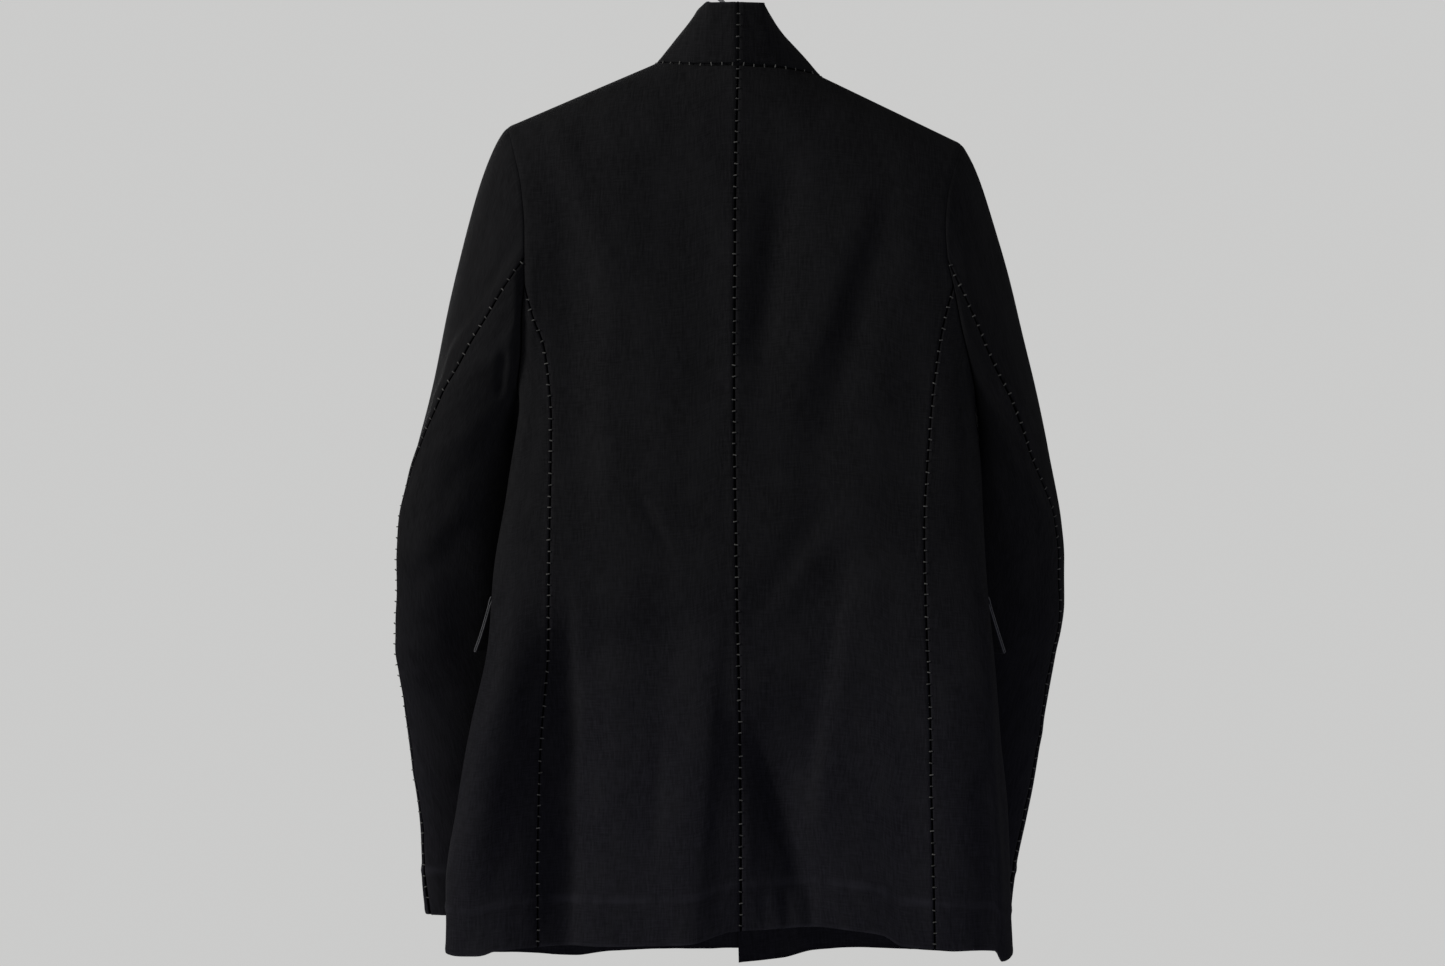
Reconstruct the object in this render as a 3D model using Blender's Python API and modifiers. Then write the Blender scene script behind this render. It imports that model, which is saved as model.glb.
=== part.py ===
"""A slim blazer with a turned-up collar, hung on a plain hanger.

Metres, +Z up. The wearer's front faces -Y and the wearer's left is +X. The origin is the
inner top of the hanger's hook, so all the cloth hangs below it.

The sizes below are in millimetres, in the garment's own frame: x to the wearer's left,
y towards the wearer's back, height above the collar seam's level. Left and right have
their own columns because the jacket hangs a little askew.
"""
import math

import bpy
import numpy as np
from mathutils import Vector

MM = 0.001
NECK_DROP = 95.0            # collar seam's level below the hook's inner top
CLOTH = 1.4                 # wall of the shell cloth
LEAF = 1.2                  # wall of each layer of the collar
LEAF_GAP = 0.6              # between the collar's two layers
LAPEL = 2.4                 # wall of a lapel, front cloth and facing together
FLAP = 3.0                  # wall of a pocket flap, two layers pressed together
SEAM = 0.3                  # gap between two pieces at a seam
LEFT, RIGHT = 1, -1
SIDE_NAMES = {LEFT: "left", RIGHT: "right"}

# Body rings: the widths run to the sides, the depths to the back and the front
TORSO = (
    # height, left width, right width, side y, back depth, back power, front depth, front power
    (40, 228, 232, 0, 48, 2.6, 40, 2.5),
    (-60, 224, 230, 0, 56, 2.6, 46, 2.4),
    (-130, 213, 222, 0, 60, 2.8, 50, 2.3),
    (-200, 199, 211, 0, 60, 3.0, 52, 2.2),
    (-277, 179, 199, 0, 58, 3.1, 52, 2.1),
    (-343, 188, 205, 1, 54, 3.3, 50, 2.0),
    (-410, 198, 207, 2, 50, 3.6, 48, 1.9),
    (-477, 204, 212, 3, 50, 4.0, 49, 1.8),
    (-543, 217, 218, 4, 53, 4.4, 52, 1.8),
    (-610, 228, 224, 5, 57, 4.9, 55, 1.7),
    (-677, 237, 226, 6, 60, 5.2, 58, 1.7),
    (-760, 237, 226.5, 6, 62, 5.4, 60, 1.7),
)
CROWN_DEPTH = 85.0          # drop over which the body rounds over at the shoulder
CROWN_POWER = 2.2
CROWN_LEVEL = (5.0, 60.0)   # the two sides' shoulder lines are levelled out between these distances

# Where the seams lie: height, then distance out from the middle (x for the centre seams)
CENTRE_BACK = ((0, -2.5), (-110, 0), (-277, 1), (-415, -1), (-577, -4), (-745, -4.5))
SIDE_BACK = {
    LEFT: ((-186, 172.5), (-212, 165), (-240, 157), (-303, 152), (-409, 152), (-482, 154),
           (-573, 159), (-658, 160), (-745, 160)),
    RIGHT: ((-186, 177.5), (-228, 167), (-292, 159), (-386, 154), (-535, 154), (-652, 156),
            (-745, 159)),
}
SIDE_FRONT = {
    LEFT: ((-186, 166), (-240, 156), (-340, 146), (-450, 144), (-600, 152), (-760, 156)),
    RIGHT: ((-186, 168), (-240, 160), (-340, 150), (-450, 146), (-600, 148), (-760, 150)),
}
ARMHOLE_BACK = {
    LEFT: ((-186, 172.5), (-141, 172.5), (-105, 175), (-77, 181), (-50, 189)),
    RIGHT: ((-186, 177.5), (-165, 173), (-137, 171), (-112, 173), (-89, 179), (-64, 188)),
}
ARMHOLE_FRONT = {
    LEFT: ((-186, 166), (-160, 163), (-120, 164), (-85, 173), (-50, 189)),
    RIGHT: ((-186, 168), (-160, 164), (-125, 165), (-92, 174), (-64, 188)),
}
ARMHOLE_CORNER = -186.0     # height where the side panel's seams run into the armhole
ARMPIT = {LEFT: -272.0, RIGHT: -274.0}
UNDERARM_POWER = 1.8

# Shoulder line: height and distance of its tip, and its rise towards the neck
TIP_HEIGHT = {LEFT: -50.0, RIGHT: -64.0}
TIP_OUT = {LEFT: 189.0, RIGHT: 188.0}
SHOULDER_RISE = {LEFT: 0.427, RIGHT: 0.48}
NECK_OUT = {LEFT: 66.0, RIGHT: 72.0}
NECK_CENTRE = -5.0          # height of the neckline at the centre back
NECKLINE_POWER = 2.5

# Hems: x, then height over the back; distance out, then height over each front
HEM_BACK = ((-229, -731), (-213, -732.5), (-206, -723), (-162, -720), (-134, -718), (-118, -709),
            (-88, -705), (-62, -703), (-19, -705), (3, -706), (36, -715), (99, -719),
            (163, -720.5), (194, -723.5), (205, -727.5), (240, -730))
HEM_FRONT = {
    LEFT: ((-40, -745), (108, -744), (135, -747), (183, -742), (240, -738)),
    RIGHT: ((3, -757), (42, -752), (67, -745), (110, -741), (150, -741), (180, -741), (229, -733)),
}
HEM_LEVEL = -735.0          # where the side panel's columns are set out

# Front opening: the centre front, the overlap past it and where the lapel turns
CENTRE_FRONT = ((0, -4), (-330, -10), (-545, -17), (-770, -22))
OVERLAP = 18.0
BREAK_HEIGHT = -330.0
ROLL_TOP_OUT = 56.0
ROLL_TOP_HEIGHT = -16.0
OVERLAP_LIFT = 2.2          # the left front lies this far out over the right one
OVERLAP_FADE = (22.0, 46.0)  # distance from the centre front where that lift starts to fade, and ends

# Drapes: soft ridges and troughs, each from one end to the other
DRAPE_FADE = (-0.25, 0.3)   # shares of a drape's length between which it swells from nothing
DRAPES_BACK = (
    # x, height, x, height, half width, depth
    (150, -90, 128, -400, 20, -6.0),
    (134, -480, 137, -760, 26, -14.0),
    (180, -470, 216, -700, 18, 11.0),
    (24, -520, 36, -760, 34, 8.0),
    (-14, -550, -64, -700, 22, -11.0),
    (-150, -480, -164, -760, 44, 6.0),
    (-34, -110, -14, -260, 16, -3.5),
    (-122, -140, -70, -320, 18, -4.5),
    (150, -488, 10, -478, 26, -5.0),
    (-10, -490, -100, -405, 24, -5.0),
)
DRAPES_FRONT = (
    (110, -520, 118, -770, 26, -5.0),
    (-100, -500, -104, -770, 28, -5.0),
)

# Sleeves below the armpit, ring by ring
SLEEVE = {
    LEFT: (
        # height, outermost, width, middle y, half depth, turn towards the wall in degrees
        (-312, 268, 86, -30, 50, 19),
        (-343, 275, 92, -35, 46, 19),
        (-393, 285, 101, -38, 40, 18),
        (-430, 285, 108, -41, 34, 17),
        (-479, 283, 116, -48, 28, 18),
        (-530, 280, 120, -51, 25, 18),
        (-581, 274, 121, -52, 23, 18),
        (-633, 268, 121, -52, 21, 18),
        (-684, 265, 121, -52, 20, 18),
        (-716, 262, 121, -52, 20, 18),
    ),
    RIGHT: (
        (-312, 266, 61, -31, 50, 17),
        (-345, 272, 71, -38, 46, 18),
        (-378, 277, 82, -43, 42, 18),
        (-411, 280, 93, -46, 36, 17),
        (-445, 280, 102, -47, 31, 18),
        (-495, 272, 112, -51, 27, 18),
        (-547, 263, 115, -54, 24, 18),
        (-615, 251, 118, -56, 22, 18),
        (-684, 238, 118, -57, 20, 18),
        (-716, 234, 118, -57, 20, 18),
    ),
}
CUFF_HEIGHT = {LEFT: -711.0, RIGHT: -712.0}
SLEEVE_POWER = 2.15
# How far the cap leans out from the armhole, at the armpit and at the shoulder's tip, and how
# strongly it runs on into the sleeve below
CAP_SPREAD = {LEFT: (0.28, 0.95), RIGHT: (0.25, 0.8)}
CAP_SETTLE = {LEFT: 0.75, RIGHT: 0.36}
CAP_SWING = 0.5
CAP_RISE = 1.5              # above 1, the spread grows mostly near the tip
CAP_CLOSING = 1.35          # how much closer the cap's rows come towards the armhole
ARMHOLE_AGREE = (0.0, 0.7)  # cosines between the sleeve's and the body's directions: apart, running on
# The elbow seam runs this far in from the sleeve's outer edge
ELBOW_INSET = {
    LEFT: ((-312, 6), (-360, 3), (-400, 2.5), (-600, 2), (-660, 3), (-716, 6.5)),
    RIGHT: ((-312, 14), (-345, 9), (-378, 5), (-411, 4.5), (-600, 3.5), (-716, 5)),
}
FOREARM_TURN = ((-312, 205), (-400, 192), (-716, 186))

# Collar, turned up: the leaf from the neckline to its edge, by the share of the way round
COLLAR_LEAF = {
    # share, out, back, up
    LEFT: ((0.0, 0, 3, 50), (0.18, -1, 3, 50), (0.3, -12, 2, 51), (0.45, -23, -1, 50),
           (0.68, -38, -9, 42), (0.85, -31, -17, 44), (1.0, -20, -24, 44)),
    RIGHT: ((0.0, 0, 3, 50), (0.18, -1, 3, 51), (0.3, -15, 2, 53), (0.45, -28, -1, 54),
            (0.68, -40, -9, 44), (0.85, -34, -17, 45), (1.0, -20, -24, 46)),
}
COLLAR_BOW = 1.5

# Lapel: height, then distance across from the roll line to the outer edge
LAPEL_EDGE = ((-330, 2), (-300, 16), (-270, 27), (-240, 37), (-210, 46), (-180, 53), (-150, 60),
              (-120, 66), (-92, 71), (-82, 56), (-60, 34), (-38, 18), (-17, 5))
LAPEL_STAND = 0.9           # gap between a lapel and its front
LAPEL_ROLL = 2.5            # extra lift beside the roll line
LAPEL_LAP = 2.0             # the lapel's inner edge covers the front's by this much
RIGHT_LAPEL_END = -285.0    # where the right lapel runs in under the left front
LAPEL_CLEAR = 3.0

# Pocket flaps, hung on the fronts from just past the sides
FLAP_TOP = -441.0
FLAP_DEPTH = 47.0
FLAP_TURNS = (94.0, 158.0)  # angle round the body where a flap starts and ends
FLAP_STAND_TOP = 0.5        # gap behind the flap at its top
FLAP_STAND_REAR = 12.0      # gap behind its lower edge at the side
FLAP_STAND_FRONT = 1.5      # gap behind its lower edge at the front

BUTTON_HEIGHTS = (-338.0, -428.0, -518.0)
BUTTON_RADIUS = 10.0
BUTTON_THICKNESS = 3.4
BUTTON_EDGE = 0.8

# Hanger: a round bar under the shoulders and a wire hook above it
BAR_RADIUS = 7.0
BAR_GAP = 0.8               # between the bar and the shoulders' inner face
BAR_SEAT = (88.0, 166.0)    # the shoulders rest on this stretch of each arm
BAR_NECK = 50.0
BAR_NECK_SINK = 7.0         # the bar dips this far clear of the collar beside the neck
BAR_PEAK = 9.0
WIRE_RADIUS = 1.8
HOOK_RADIUS = 20.0
HOOK_START, HOOK_STOP = -55.0, 200.0
SHANK = 17.0                # straight wire above the bar
SHANK_BENDS = (0.3, 0.55, 0.8)  # places on its bend towards the hook's start

# Mesh steps
ROWS_LOW = 20               # hem to the armhole's corner
ROWS_HIGH = 9               # armhole's corner to the shoulder
ROW_CLOSING = 1.6           # how much closer those rows come towards the shoulder
NECK_STEPS = 5
SHOULDER_STEPS = 7
FRONT_NECK_STEPS = 2
SIDE_STEPS = 7
CAP_ROWS = 8
ARM_ROWS = 14
COLLAR_ROWS = 4
LAPEL_COLUMNS = 4
FLAP_COLUMNS = 8
FLAP_ROWS = 4
BAR_STEPS = 24
HOOK_STEPS = 18
BUTTON_SIDES = 20
ELBOW_INDEX = ROWS_HIGH - 1                         # place on the armhole, counted from the tip
FOREARM_INDEX = ROWS_HIGH + SIDE_STEPS + 1
TURNED = [0, 3, 2, 1]       # a face's corners the other way round, split the same way

INK = (0.012, 0.012, 0.015, 1.0)
FINISHES = {
    # colour, roughness, metallic
    "cloth": (INK, 0.85, 0.0),
    "button": ((0.02, 0.02, 0.02, 1.0), 0.35, 0.0),
    "wood": ((0.36, 0.22, 0.12, 1.0), 0.5, 0.0),
    "steel": ((0.62, 0.62, 0.64, 1.0), 0.3, 1.0),
}


def through(table, column=1):
    """A smooth curve, with no overshoot, through one column of a table by its first column."""
    rows = sorted(table)
    keys = np.array([row[0] for row in rows], float)
    values = np.array([row[column] for row in rows], float)
    secants = np.diff(values) / np.diff(keys)
    slopes = np.concatenate((secants[:1], np.zeros(len(keys) - 2), secants[-1:]))
    same = secants[:-1] * secants[1:] > 0
    before, after = secants[:-1][same], secants[1:][same]
    slopes[1:-1][same] = 2 * before * after / (before + after)

    def curve(query):
        query = np.clip(query, keys[0], keys[-1])
        place = np.clip(np.searchsorted(keys, query) - 1, 0, len(keys) - 2)
        span = keys[place + 1] - keys[place]
        t = (query - keys[place]) / span
        start = (1 + 2 * t) * (1 - t) ** 2 * values[place] + t * (1 - t) ** 2 * span * slopes[place]
        end = t * t * (3 - 2 * t) * values[place + 1] + t * t * (t - 1) * span * slopes[place + 1]
        return start + end

    return curve


def both_sides(tables):
    return {side: through(tables[side]) for side in (LEFT, RIGHT)}


def smooth_step(low, high, value):
    t = np.clip((value - low) / (high - low), 0, 1)
    return t * t * (3 - 2 * t)


def unit(vectors):
    return vectors / np.linalg.norm(vectors, axis=-1, keepdims=True)


def mix(start, stop, share):
    return start + (stop - start) * share


width_at = {LEFT: through(TORSO, 1), RIGHT: through(TORSO, 2)}
side_y_at = through(TORSO, 3)
back_depth_at = through(TORSO, 4)
back_power_at = through(TORSO, 5)
front_depth_at = through(TORSO, 6)
front_power_at = through(TORSO, 7)
centre_back = through(CENTRE_BACK)
centre_front = through(CENTRE_FRONT)
side_back = both_sides(SIDE_BACK)
side_front = both_sides(SIDE_FRONT)
armhole_back = both_sides(ARMHOLE_BACK)
armhole_front = both_sides(ARMHOLE_FRONT)
hem_back = through(HEM_BACK)
hem_front = both_sides(HEM_FRONT)
forearm_turn = through(FOREARM_TURN)
elbow_inset = both_sides(ELBOW_INSET)
lapel_edge = through(LAPEL_EDGE)


def ridge(out, side):
    """Height of the shoulder line, at a distance out from the middle."""
    return TIP_HEIGHT[side] + SHOULDER_RISE[side] * (TIP_OUT[side] - out)


def crown(out, side):
    """Height from which the body rounds over: the shoulder line, levelled between the sides inside the neck."""
    level = (ridge(np.abs(out), LEFT) + ridge(np.abs(out), RIGHT)) / 2
    return mix(level, ridge(out, side), smooth_step(*CROWN_LEVEL, np.abs(out)))


def drape(x, height, strokes):
    """Depth of the soft folds at a place: the sum of long bumps with soft ends."""
    depth = np.zeros_like(x)
    for x0, h0, x1, h1, half, bump in strokes:
        along = np.array((x1 - x0, h1 - h0), float)
        length = np.linalg.norm(along)
        along = along / length
        run = ((x - x0) * along[0] + (height - h0) * along[1]) / length
        off = (x - x0) * along[1] - (height - h0) * along[0]
        ends = smooth_step(*DRAPE_FADE, run) * smooth_step(*DRAPE_FADE, 1 - run)
        depth = depth + bump * ends * np.exp(-(off / half) ** 2)
    return depth


def torso(angle, height, side):
    """Outer surface of the body. The angle is 0 at the centre back and pi at the centre front."""
    sine, cosine = np.sin(angle), np.cos(angle)
    back = cosine >= 0
    power = np.where(back, back_power_at(height), front_power_at(height))
    depth = np.where(back, back_depth_at(height), front_depth_at(height))
    out = width_at[side](height) * np.sign(sine) * np.abs(sine) ** (2 / power)
    y = side_y_at(height) + depth * np.sign(cosine) * np.abs(cosine) ** (2 / power)
    x = side * out
    fold = np.where(back, drape(x, height, DRAPES_BACK), drape(x, height, DRAPES_FRONT))
    fold = fold * np.sqrt(np.abs(cosine))
    drop = np.clip((crown(out, side) - height) / CROWN_DEPTH, 0, 1)
    flat = (1 - (1 - drop) ** CROWN_POWER) ** (1 / CROWN_POWER)
    x = x + fold * flat * side * sine
    return np.stack((x, (y + fold * cosine) * flat, height + 0 * x), axis=-1)


def torso_normal(angle, height, side):
    """Outward direction of the body's surface."""
    turn, rise = 0.012, 1.5
    along = torso(angle + turn, height, side) - torso(angle - turn, height, side)
    up = torso(angle, height + rise, side) - torso(angle, height - rise, side)
    return unit(np.cross(up, along)) * side


def back_angle(out, height, side):
    share = out / width_at[side](height)
    return np.sign(share) * np.arcsin(np.clip(np.abs(share), 0, 1) ** (back_power_at(height) / 2))


def front_angle(out, height, side):
    share = out / width_at[side](height)
    turn = np.arcsin(np.clip(np.abs(share), 0, 1) ** (front_power_at(height) / 2))
    return math.pi - np.sign(share) * turn


def column_heights(low, high):
    """Heights up a column: even steps to the armhole's corner, then closer towards the top."""
    lower = mix(low, ARMHOLE_CORNER, np.linspace(0, 1, ROWS_LOW + 1))
    rise = 1 - (1 - np.linspace(0, 1, ROWS_HIGH + 1)[1:]) ** ROW_CLOSING
    return np.concatenate((lower, mix(ARMHOLE_CORNER, high, rise)))


def reach_top(outs, column, top_out):
    """A column's distances out, eased above the armhole's corner so that its top lands in place."""
    rise = np.clip((column - ARMHOLE_CORNER) / (column[-1] - ARMHOLE_CORNER), 0, 1)
    return outs + (top_out - outs[-1]) * rise ** 2


def shoulder_outs(side):
    return np.linspace(NECK_OUT[side], TIP_OUT[side], SHOULDER_STEPS + 1)


def ridge_normal(side):
    return unit(np.array((side * SHOULDER_RISE[side], 0.0, 1.0)))


def parted(grid):
    """The grid with each of its edges drawn in by half a seam gap."""
    grid = grid.copy()
    for edges in (grid, grid.swapaxes(0, 1)):
        first, last = unit(edges[1] - edges[0]), unit(edges[-2] - edges[-1])
        edges[0] += first * SEAM / 2
        edges[-1] += last * SEAM / 2
    return grid


def surface_normals(grid, side, before=None, after=None):
    """Outward directions of a surface; a column given past either edge is counted in there."""
    wide = [grid]
    if before is not None:
        wide.insert(0, before[:, None])
    if after is not None:
        wide.append(after[:, None])
    wide = np.concatenate(wide, axis=1)
    normals = unit(np.cross(np.gradient(wide, axis=0), np.gradient(wide, axis=1))) * side
    start = 0 if before is None else 1
    return normals[:, start:start + grid.shape[1]]


def back_panel(side):
    """Half of the back, as points and outward directions: hem first, centre seam first."""
    neck = np.linspace(0, NECK_OUT[side], NECK_STEPS + 1)[:-1]
    neck[0] = side * centre_back(NECK_CENTRE)
    neck_rise = (np.clip(neck, 0, None) / NECK_OUT[side]) ** NECKLINE_POWER
    neckline = mix(NECK_CENTRE, ridge(NECK_OUT[side], side), neck_rise)
    shoulder = shoulder_outs(side)
    top_outs = np.concatenate((neck, shoulder))
    tops = np.concatenate((neckline, ridge(shoulder, side)))
    shares = (top_outs - top_outs[0]) / (top_outs[-1] - top_outs[0])
    heights, outs = [], []
    for share, top_out, top in zip(shares, top_outs, tops):
        hem_out = mix(side * centre_back(HEM_LEVEL), side_back[side](HEM_LEVEL), share)
        column = column_heights(hem_back(side * hem_out), top)
        below = column <= ARMHOLE_CORNER
        edge = np.where(below, side_back[side](column), armhole_back[side](column))
        across = mix(side * centre_back(column), edge, share)
        heights.append(column)
        outs.append(reach_top(across, column, top_out))
    heights, outs = np.array(heights).T, np.array(outs).T
    angles = back_angle(outs, heights, side)
    points, normals = torso(angles, heights, side), torso_normal(angles, heights, side)
    normals[-1, NECK_STEPS:] = ridge_normal(side)
    return points, normals


def roll_line(height, side):
    """Distance out of the front's edge: the roll line above the break, the overlap below it."""
    edge = side * centre_front(height) - OVERLAP
    turn = side * centre_front(BREAK_HEIGHT) - OVERLAP
    share = np.clip((height - BREAK_HEIGHT) / (ROLL_TOP_HEIGHT - BREAK_HEIGHT), 0, 1)
    return np.where(height < BREAK_HEIGHT, edge, mix(turn, ROLL_TOP_OUT, share))


def front_surface(outs, heights, side):
    """Points and outward directions over a front, the left one lifted where it lies over the right."""
    angles = front_angle(outs, heights, side)
    points, normals = torso(angles, heights, side), torso_normal(angles, heights, side)
    if side == LEFT:
        off = np.abs(points[..., 0] - centre_front(heights))
        lift = OVERLAP_LIFT * (1 - smooth_step(*OVERLAP_FADE, off))
        points = points + normals * lift[..., None]
    return points, normals


def front_panel(side):
    """A front, as points and outward directions: hem first, front edge first."""
    neck_rise = np.linspace(0, 1, FRONT_NECK_STEPS + 1)[:-1]
    neck = mix(ROLL_TOP_OUT, NECK_OUT[side], neck_rise)
    neckline = mix(ROLL_TOP_HEIGHT, ridge(NECK_OUT[side], side), neck_rise)
    shoulder = shoulder_outs(side)
    top_outs = np.concatenate((neck, shoulder))
    tops = np.concatenate((neckline, ridge(shoulder, side)))
    shares = (top_outs - top_outs[0]) / (top_outs[-1] - top_outs[0])
    heights, outs = [], []
    evens = np.linspace(0, 1, len(shares))
    for share, even, top_out, top in zip(shares, evens, top_outs, tops):
        hem_out = mix(roll_line(HEM_LEVEL, side), side_front[side](HEM_LEVEL), even)
        column = column_heights(hem_front[side](hem_out), top)
        below = column <= ARMHOLE_CORNER
        edge = np.where(below, side_front[side](column), armhole_front[side](column))
        # Columns stand evenly apart below the chest and meet the neck and shoulder at the top
        place = mix(even, share, smooth_step(BREAK_HEIGHT, ROLL_TOP_HEIGHT, column))
        heights.append(column)
        outs.append(reach_top(mix(roll_line(column, side), edge, place), column, top_out))
    heights, outs = np.array(heights).T, np.array(outs).T
    points, normals = front_surface(outs, heights, side)
    normals[-1, FRONT_NECK_STEPS:] = ridge_normal(side)
    return points, normals


def side_angle(share, height, side):
    start = back_angle(side_back[side](height), height, side)
    stop = front_angle(side_front[side](height), height, side)
    return mix(start, stop, share)


def out_at(angle, height, side):
    """Distance out of the body's surface, at an angle round it."""
    power = back_power_at(height) if angle < math.pi / 2 else front_power_at(height)
    return width_at[side](height) * np.sin(angle) ** (2 / power)


def side_panel(side):
    """A side panel, as points and outward directions: hem first, back seam first."""
    heights, angles = [], []
    for share in np.linspace(0, 1, SIDE_STEPS + 1):
        turn = side_angle(share, HEM_LEVEL, side)
        hem_out = out_at(turn, HEM_LEVEL, side)
        hem = hem_back(side * hem_out) if turn < math.pi / 2 else hem_front[side](hem_out)
        top = mix(ARMPIT[side], ARMHOLE_CORNER, abs(2 * share - 1) ** UNDERARM_POWER)
        column = mix(hem, top, np.linspace(0, 1, ROWS_LOW + 1))
        heights.append(column)
        angles.append(side_angle(share, column, side))
    heights, angles = np.array(heights).T, np.array(angles).T
    return torso(angles, heights, side), torso_normal(angles, heights, side)


def armhole_loop(back, front, middle):
    """The armhole's points, or directions: down the back from the tip, under, up the front."""
    down = back[ROWS_LOW:, -1][::-1]
    under = middle[-1, 1:-1]
    up = front[ROWS_LOW:, -1]
    return np.concatenate((down, under, up))


def sleeve_ring(angles, height, side):
    """A sleeve below the armpit. The angle is 0 outermost, then back, inner and front."""
    outer, width, middle, depth, turn = (through(SLEEVE[side], k)(height) for k in range(1, 6))
    turn = math.radians(turn)
    half = math.sqrt((width / 2) ** 2 - (depth * math.sin(turn)) ** 2) / math.cos(turn)
    sine, cosine = np.sin(angles), np.cos(angles)
    major = half * np.sign(cosine) * np.abs(cosine) ** (2 / SLEEVE_POWER)
    minor = depth * np.sign(sine) * np.abs(sine) ** (2 / SLEEVE_POWER)
    out = outer - width / 2 + major * math.cos(turn) - minor * math.sin(turn)
    y = middle + major * math.sin(turn) + minor * math.cos(turn)
    return np.stack((side * out, y, np.full_like(out, height)), axis=-1)


def elbow_angle(height, side):
    """Angle of the elbow seam round the sleeve, from its distance in from the outer edge."""
    half = through(SLEEVE[side], 2)(height) / 2
    turn = math.radians(through(SLEEVE[side], 5)(height))
    return math.acos(1 - elbow_inset[side](height) / half) - turn / 2


def sleeve_piece(side, points, first_angle, last_angle):
    """A sleeve's piece hung from its stretch of the armhole, between two angles on the rings."""
    share = np.linspace(0, 1, len(points))
    top = SLEEVE[side][0][0]

    def ring(height):
        return sleeve_ring(mix(first_angle(height), last_angle(height), share), height, side)

    arm = ring(top)
    run = np.linalg.norm(arm - points, axis=1, keepdims=True)
    rise = (points[:, 2] - ARMPIT[side]) / (TIP_HEIGHT[side] - ARMPIT[side])
    spread = mix(*CAP_SPREAD[side], np.clip(rise, 0, 1) ** CAP_RISE)
    leave = unit(np.stack((side * spread, 0 * spread, -1 + 0 * spread), axis=-1)) * run * CAP_SWING
    reach = unit(ring(top - 2.0) - arm) * run * CAP_SETTLE[side]
    rows = []
    for w in np.linspace(0, 1, CAP_ROWS + 1)[:-1] ** CAP_CLOSING:
        start = (1 + 2 * w) * (1 - w) ** 2 * points + w * (1 - w) ** 2 * leave
        rows.append(start + w * w * (3 - 2 * w) * arm + w * w * (w - 1) * reach)
    rows += [ring(height) for height in np.linspace(top, CUFF_HEIGHT[side], ARM_ROWS + 1)]
    return np.array(rows)


def armhole_blend(normals, body):
    """A sleeve's top edge takes the body's directions where the two run on smoothly."""
    agree = smooth_step(*ARMHOLE_AGREE, np.sum(normals[0] * body, axis=1))[:, None]
    normals[0] = unit(mix(normals[0], body, agree))
    return normals


def sleeves(side, loop, loop_normals):
    """The upper and the under sleeve, which meet at the elbow seam and the forearm seam."""
    def elbow(height):
        return elbow_angle(height, side)

    def forearm(height):
        return math.radians(forearm_turn(height))

    def forearm_before(height):
        return forearm(height) - 2 * math.pi

    over = np.r_[FOREARM_INDEX:len(loop), 1:ELBOW_INDEX + 1]
    under = np.r_[ELBOW_INDEX:FOREARM_INDEX + 1]
    upper = sleeve_piece(side, loop[over], forearm_before, elbow)
    lower = sleeve_piece(side, loop[under], elbow, forearm)
    upper_normals = surface_normals(upper, side, lower[:, -2], lower[:, 1])
    lower_normals = surface_normals(lower, side, upper[:, -2], upper[:, 1])
    return ((upper, armhole_blend(upper_normals, loop_normals[over])),
            (lower, armhole_blend(lower_normals, loop_normals[under])))


def collar_edge(back, front):
    """The neckline on one side: the back's top edge, then the front's down to its roll line."""
    return np.concatenate((back[-1, :NECK_STEPS + 1], front[-1, :FRONT_NECK_STEPS][::-1]))


def collar_side(side, edge):
    """One side of the turned-up collar's outer face: neckline first, centre back first."""
    lengths = np.concatenate(((0,), np.cumsum(np.linalg.norm(np.diff(edge, axis=0), axis=1))))
    share = lengths / lengths[-1]
    leaf = np.stack([through(COLLAR_LEAF[side], k)(share) for k in (1, 2, 3)], axis=-1)
    leaf[:, 0] *= side
    along = np.gradient(edge, axis=0)
    outward = unit(np.cross(leaf, along)) * side
    rise = np.linspace(0, 1, COLLAR_ROWS + 1)[:, None, None]
    return edge + leaf * rise + outward * COLLAR_BOW * 4 * rise * (1 - rise)


def lapel(side):
    """A lapel on its front, as points and outward directions: its lower end first."""
    knots = np.array([row[0] for row in LAPEL_EDGE], float)
    if side == RIGHT:
        knots = np.concatenate(((RIGHT_LAPEL_END,), knots[knots > RIGHT_LAPEL_END]))
    heights = np.repeat(knots[:, None], LAPEL_COLUMNS + 1, axis=1)
    inner = roll_line(knots, side) - LAPEL_LAP
    outer = roll_line(knots, side) + lapel_edge(knots)
    if side == RIGHT:
        inner = np.maximum(inner, LAPEL_CLEAR - roll_line(knots, LEFT))
    share = np.linspace(0, 1, LAPEL_COLUMNS + 1)
    outs = mix(inner[:, None], outer[:, None], share)
    points, normals = front_surface(outs, heights, side)
    lift = LAPEL_STAND + LAPEL + LAPEL_ROLL * (1 - share) ** 2
    return points + normals * lift[:, None], normals


def pocket_flap(side):
    """A flap, as points and outward directions: its top first, its rear end first."""
    drop = np.linspace(0, 1, FLAP_ROWS + 1)[:, None]
    share = np.linspace(0, 1, FLAP_COLUMNS + 1)
    angles = np.radians(mix(*FLAP_TURNS, share)) + 0 * drop
    heights = FLAP_TOP - FLAP_DEPTH * drop + 0 * share
    points, normals = torso(angles, heights, side), torso_normal(angles, heights, side)
    stand = mix(FLAP_STAND_TOP, mix(FLAP_STAND_REAR, FLAP_STAND_FRONT, share), drop)
    return points + normals * (stand + FLAP)[..., None], normals


collection = bpy.data.collections.new("blazer")


def start_scene():
    for item in list(bpy.data.objects):
        bpy.data.objects.remove(item)
    bpy.context.scene.collection.children.link(collection)


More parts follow.
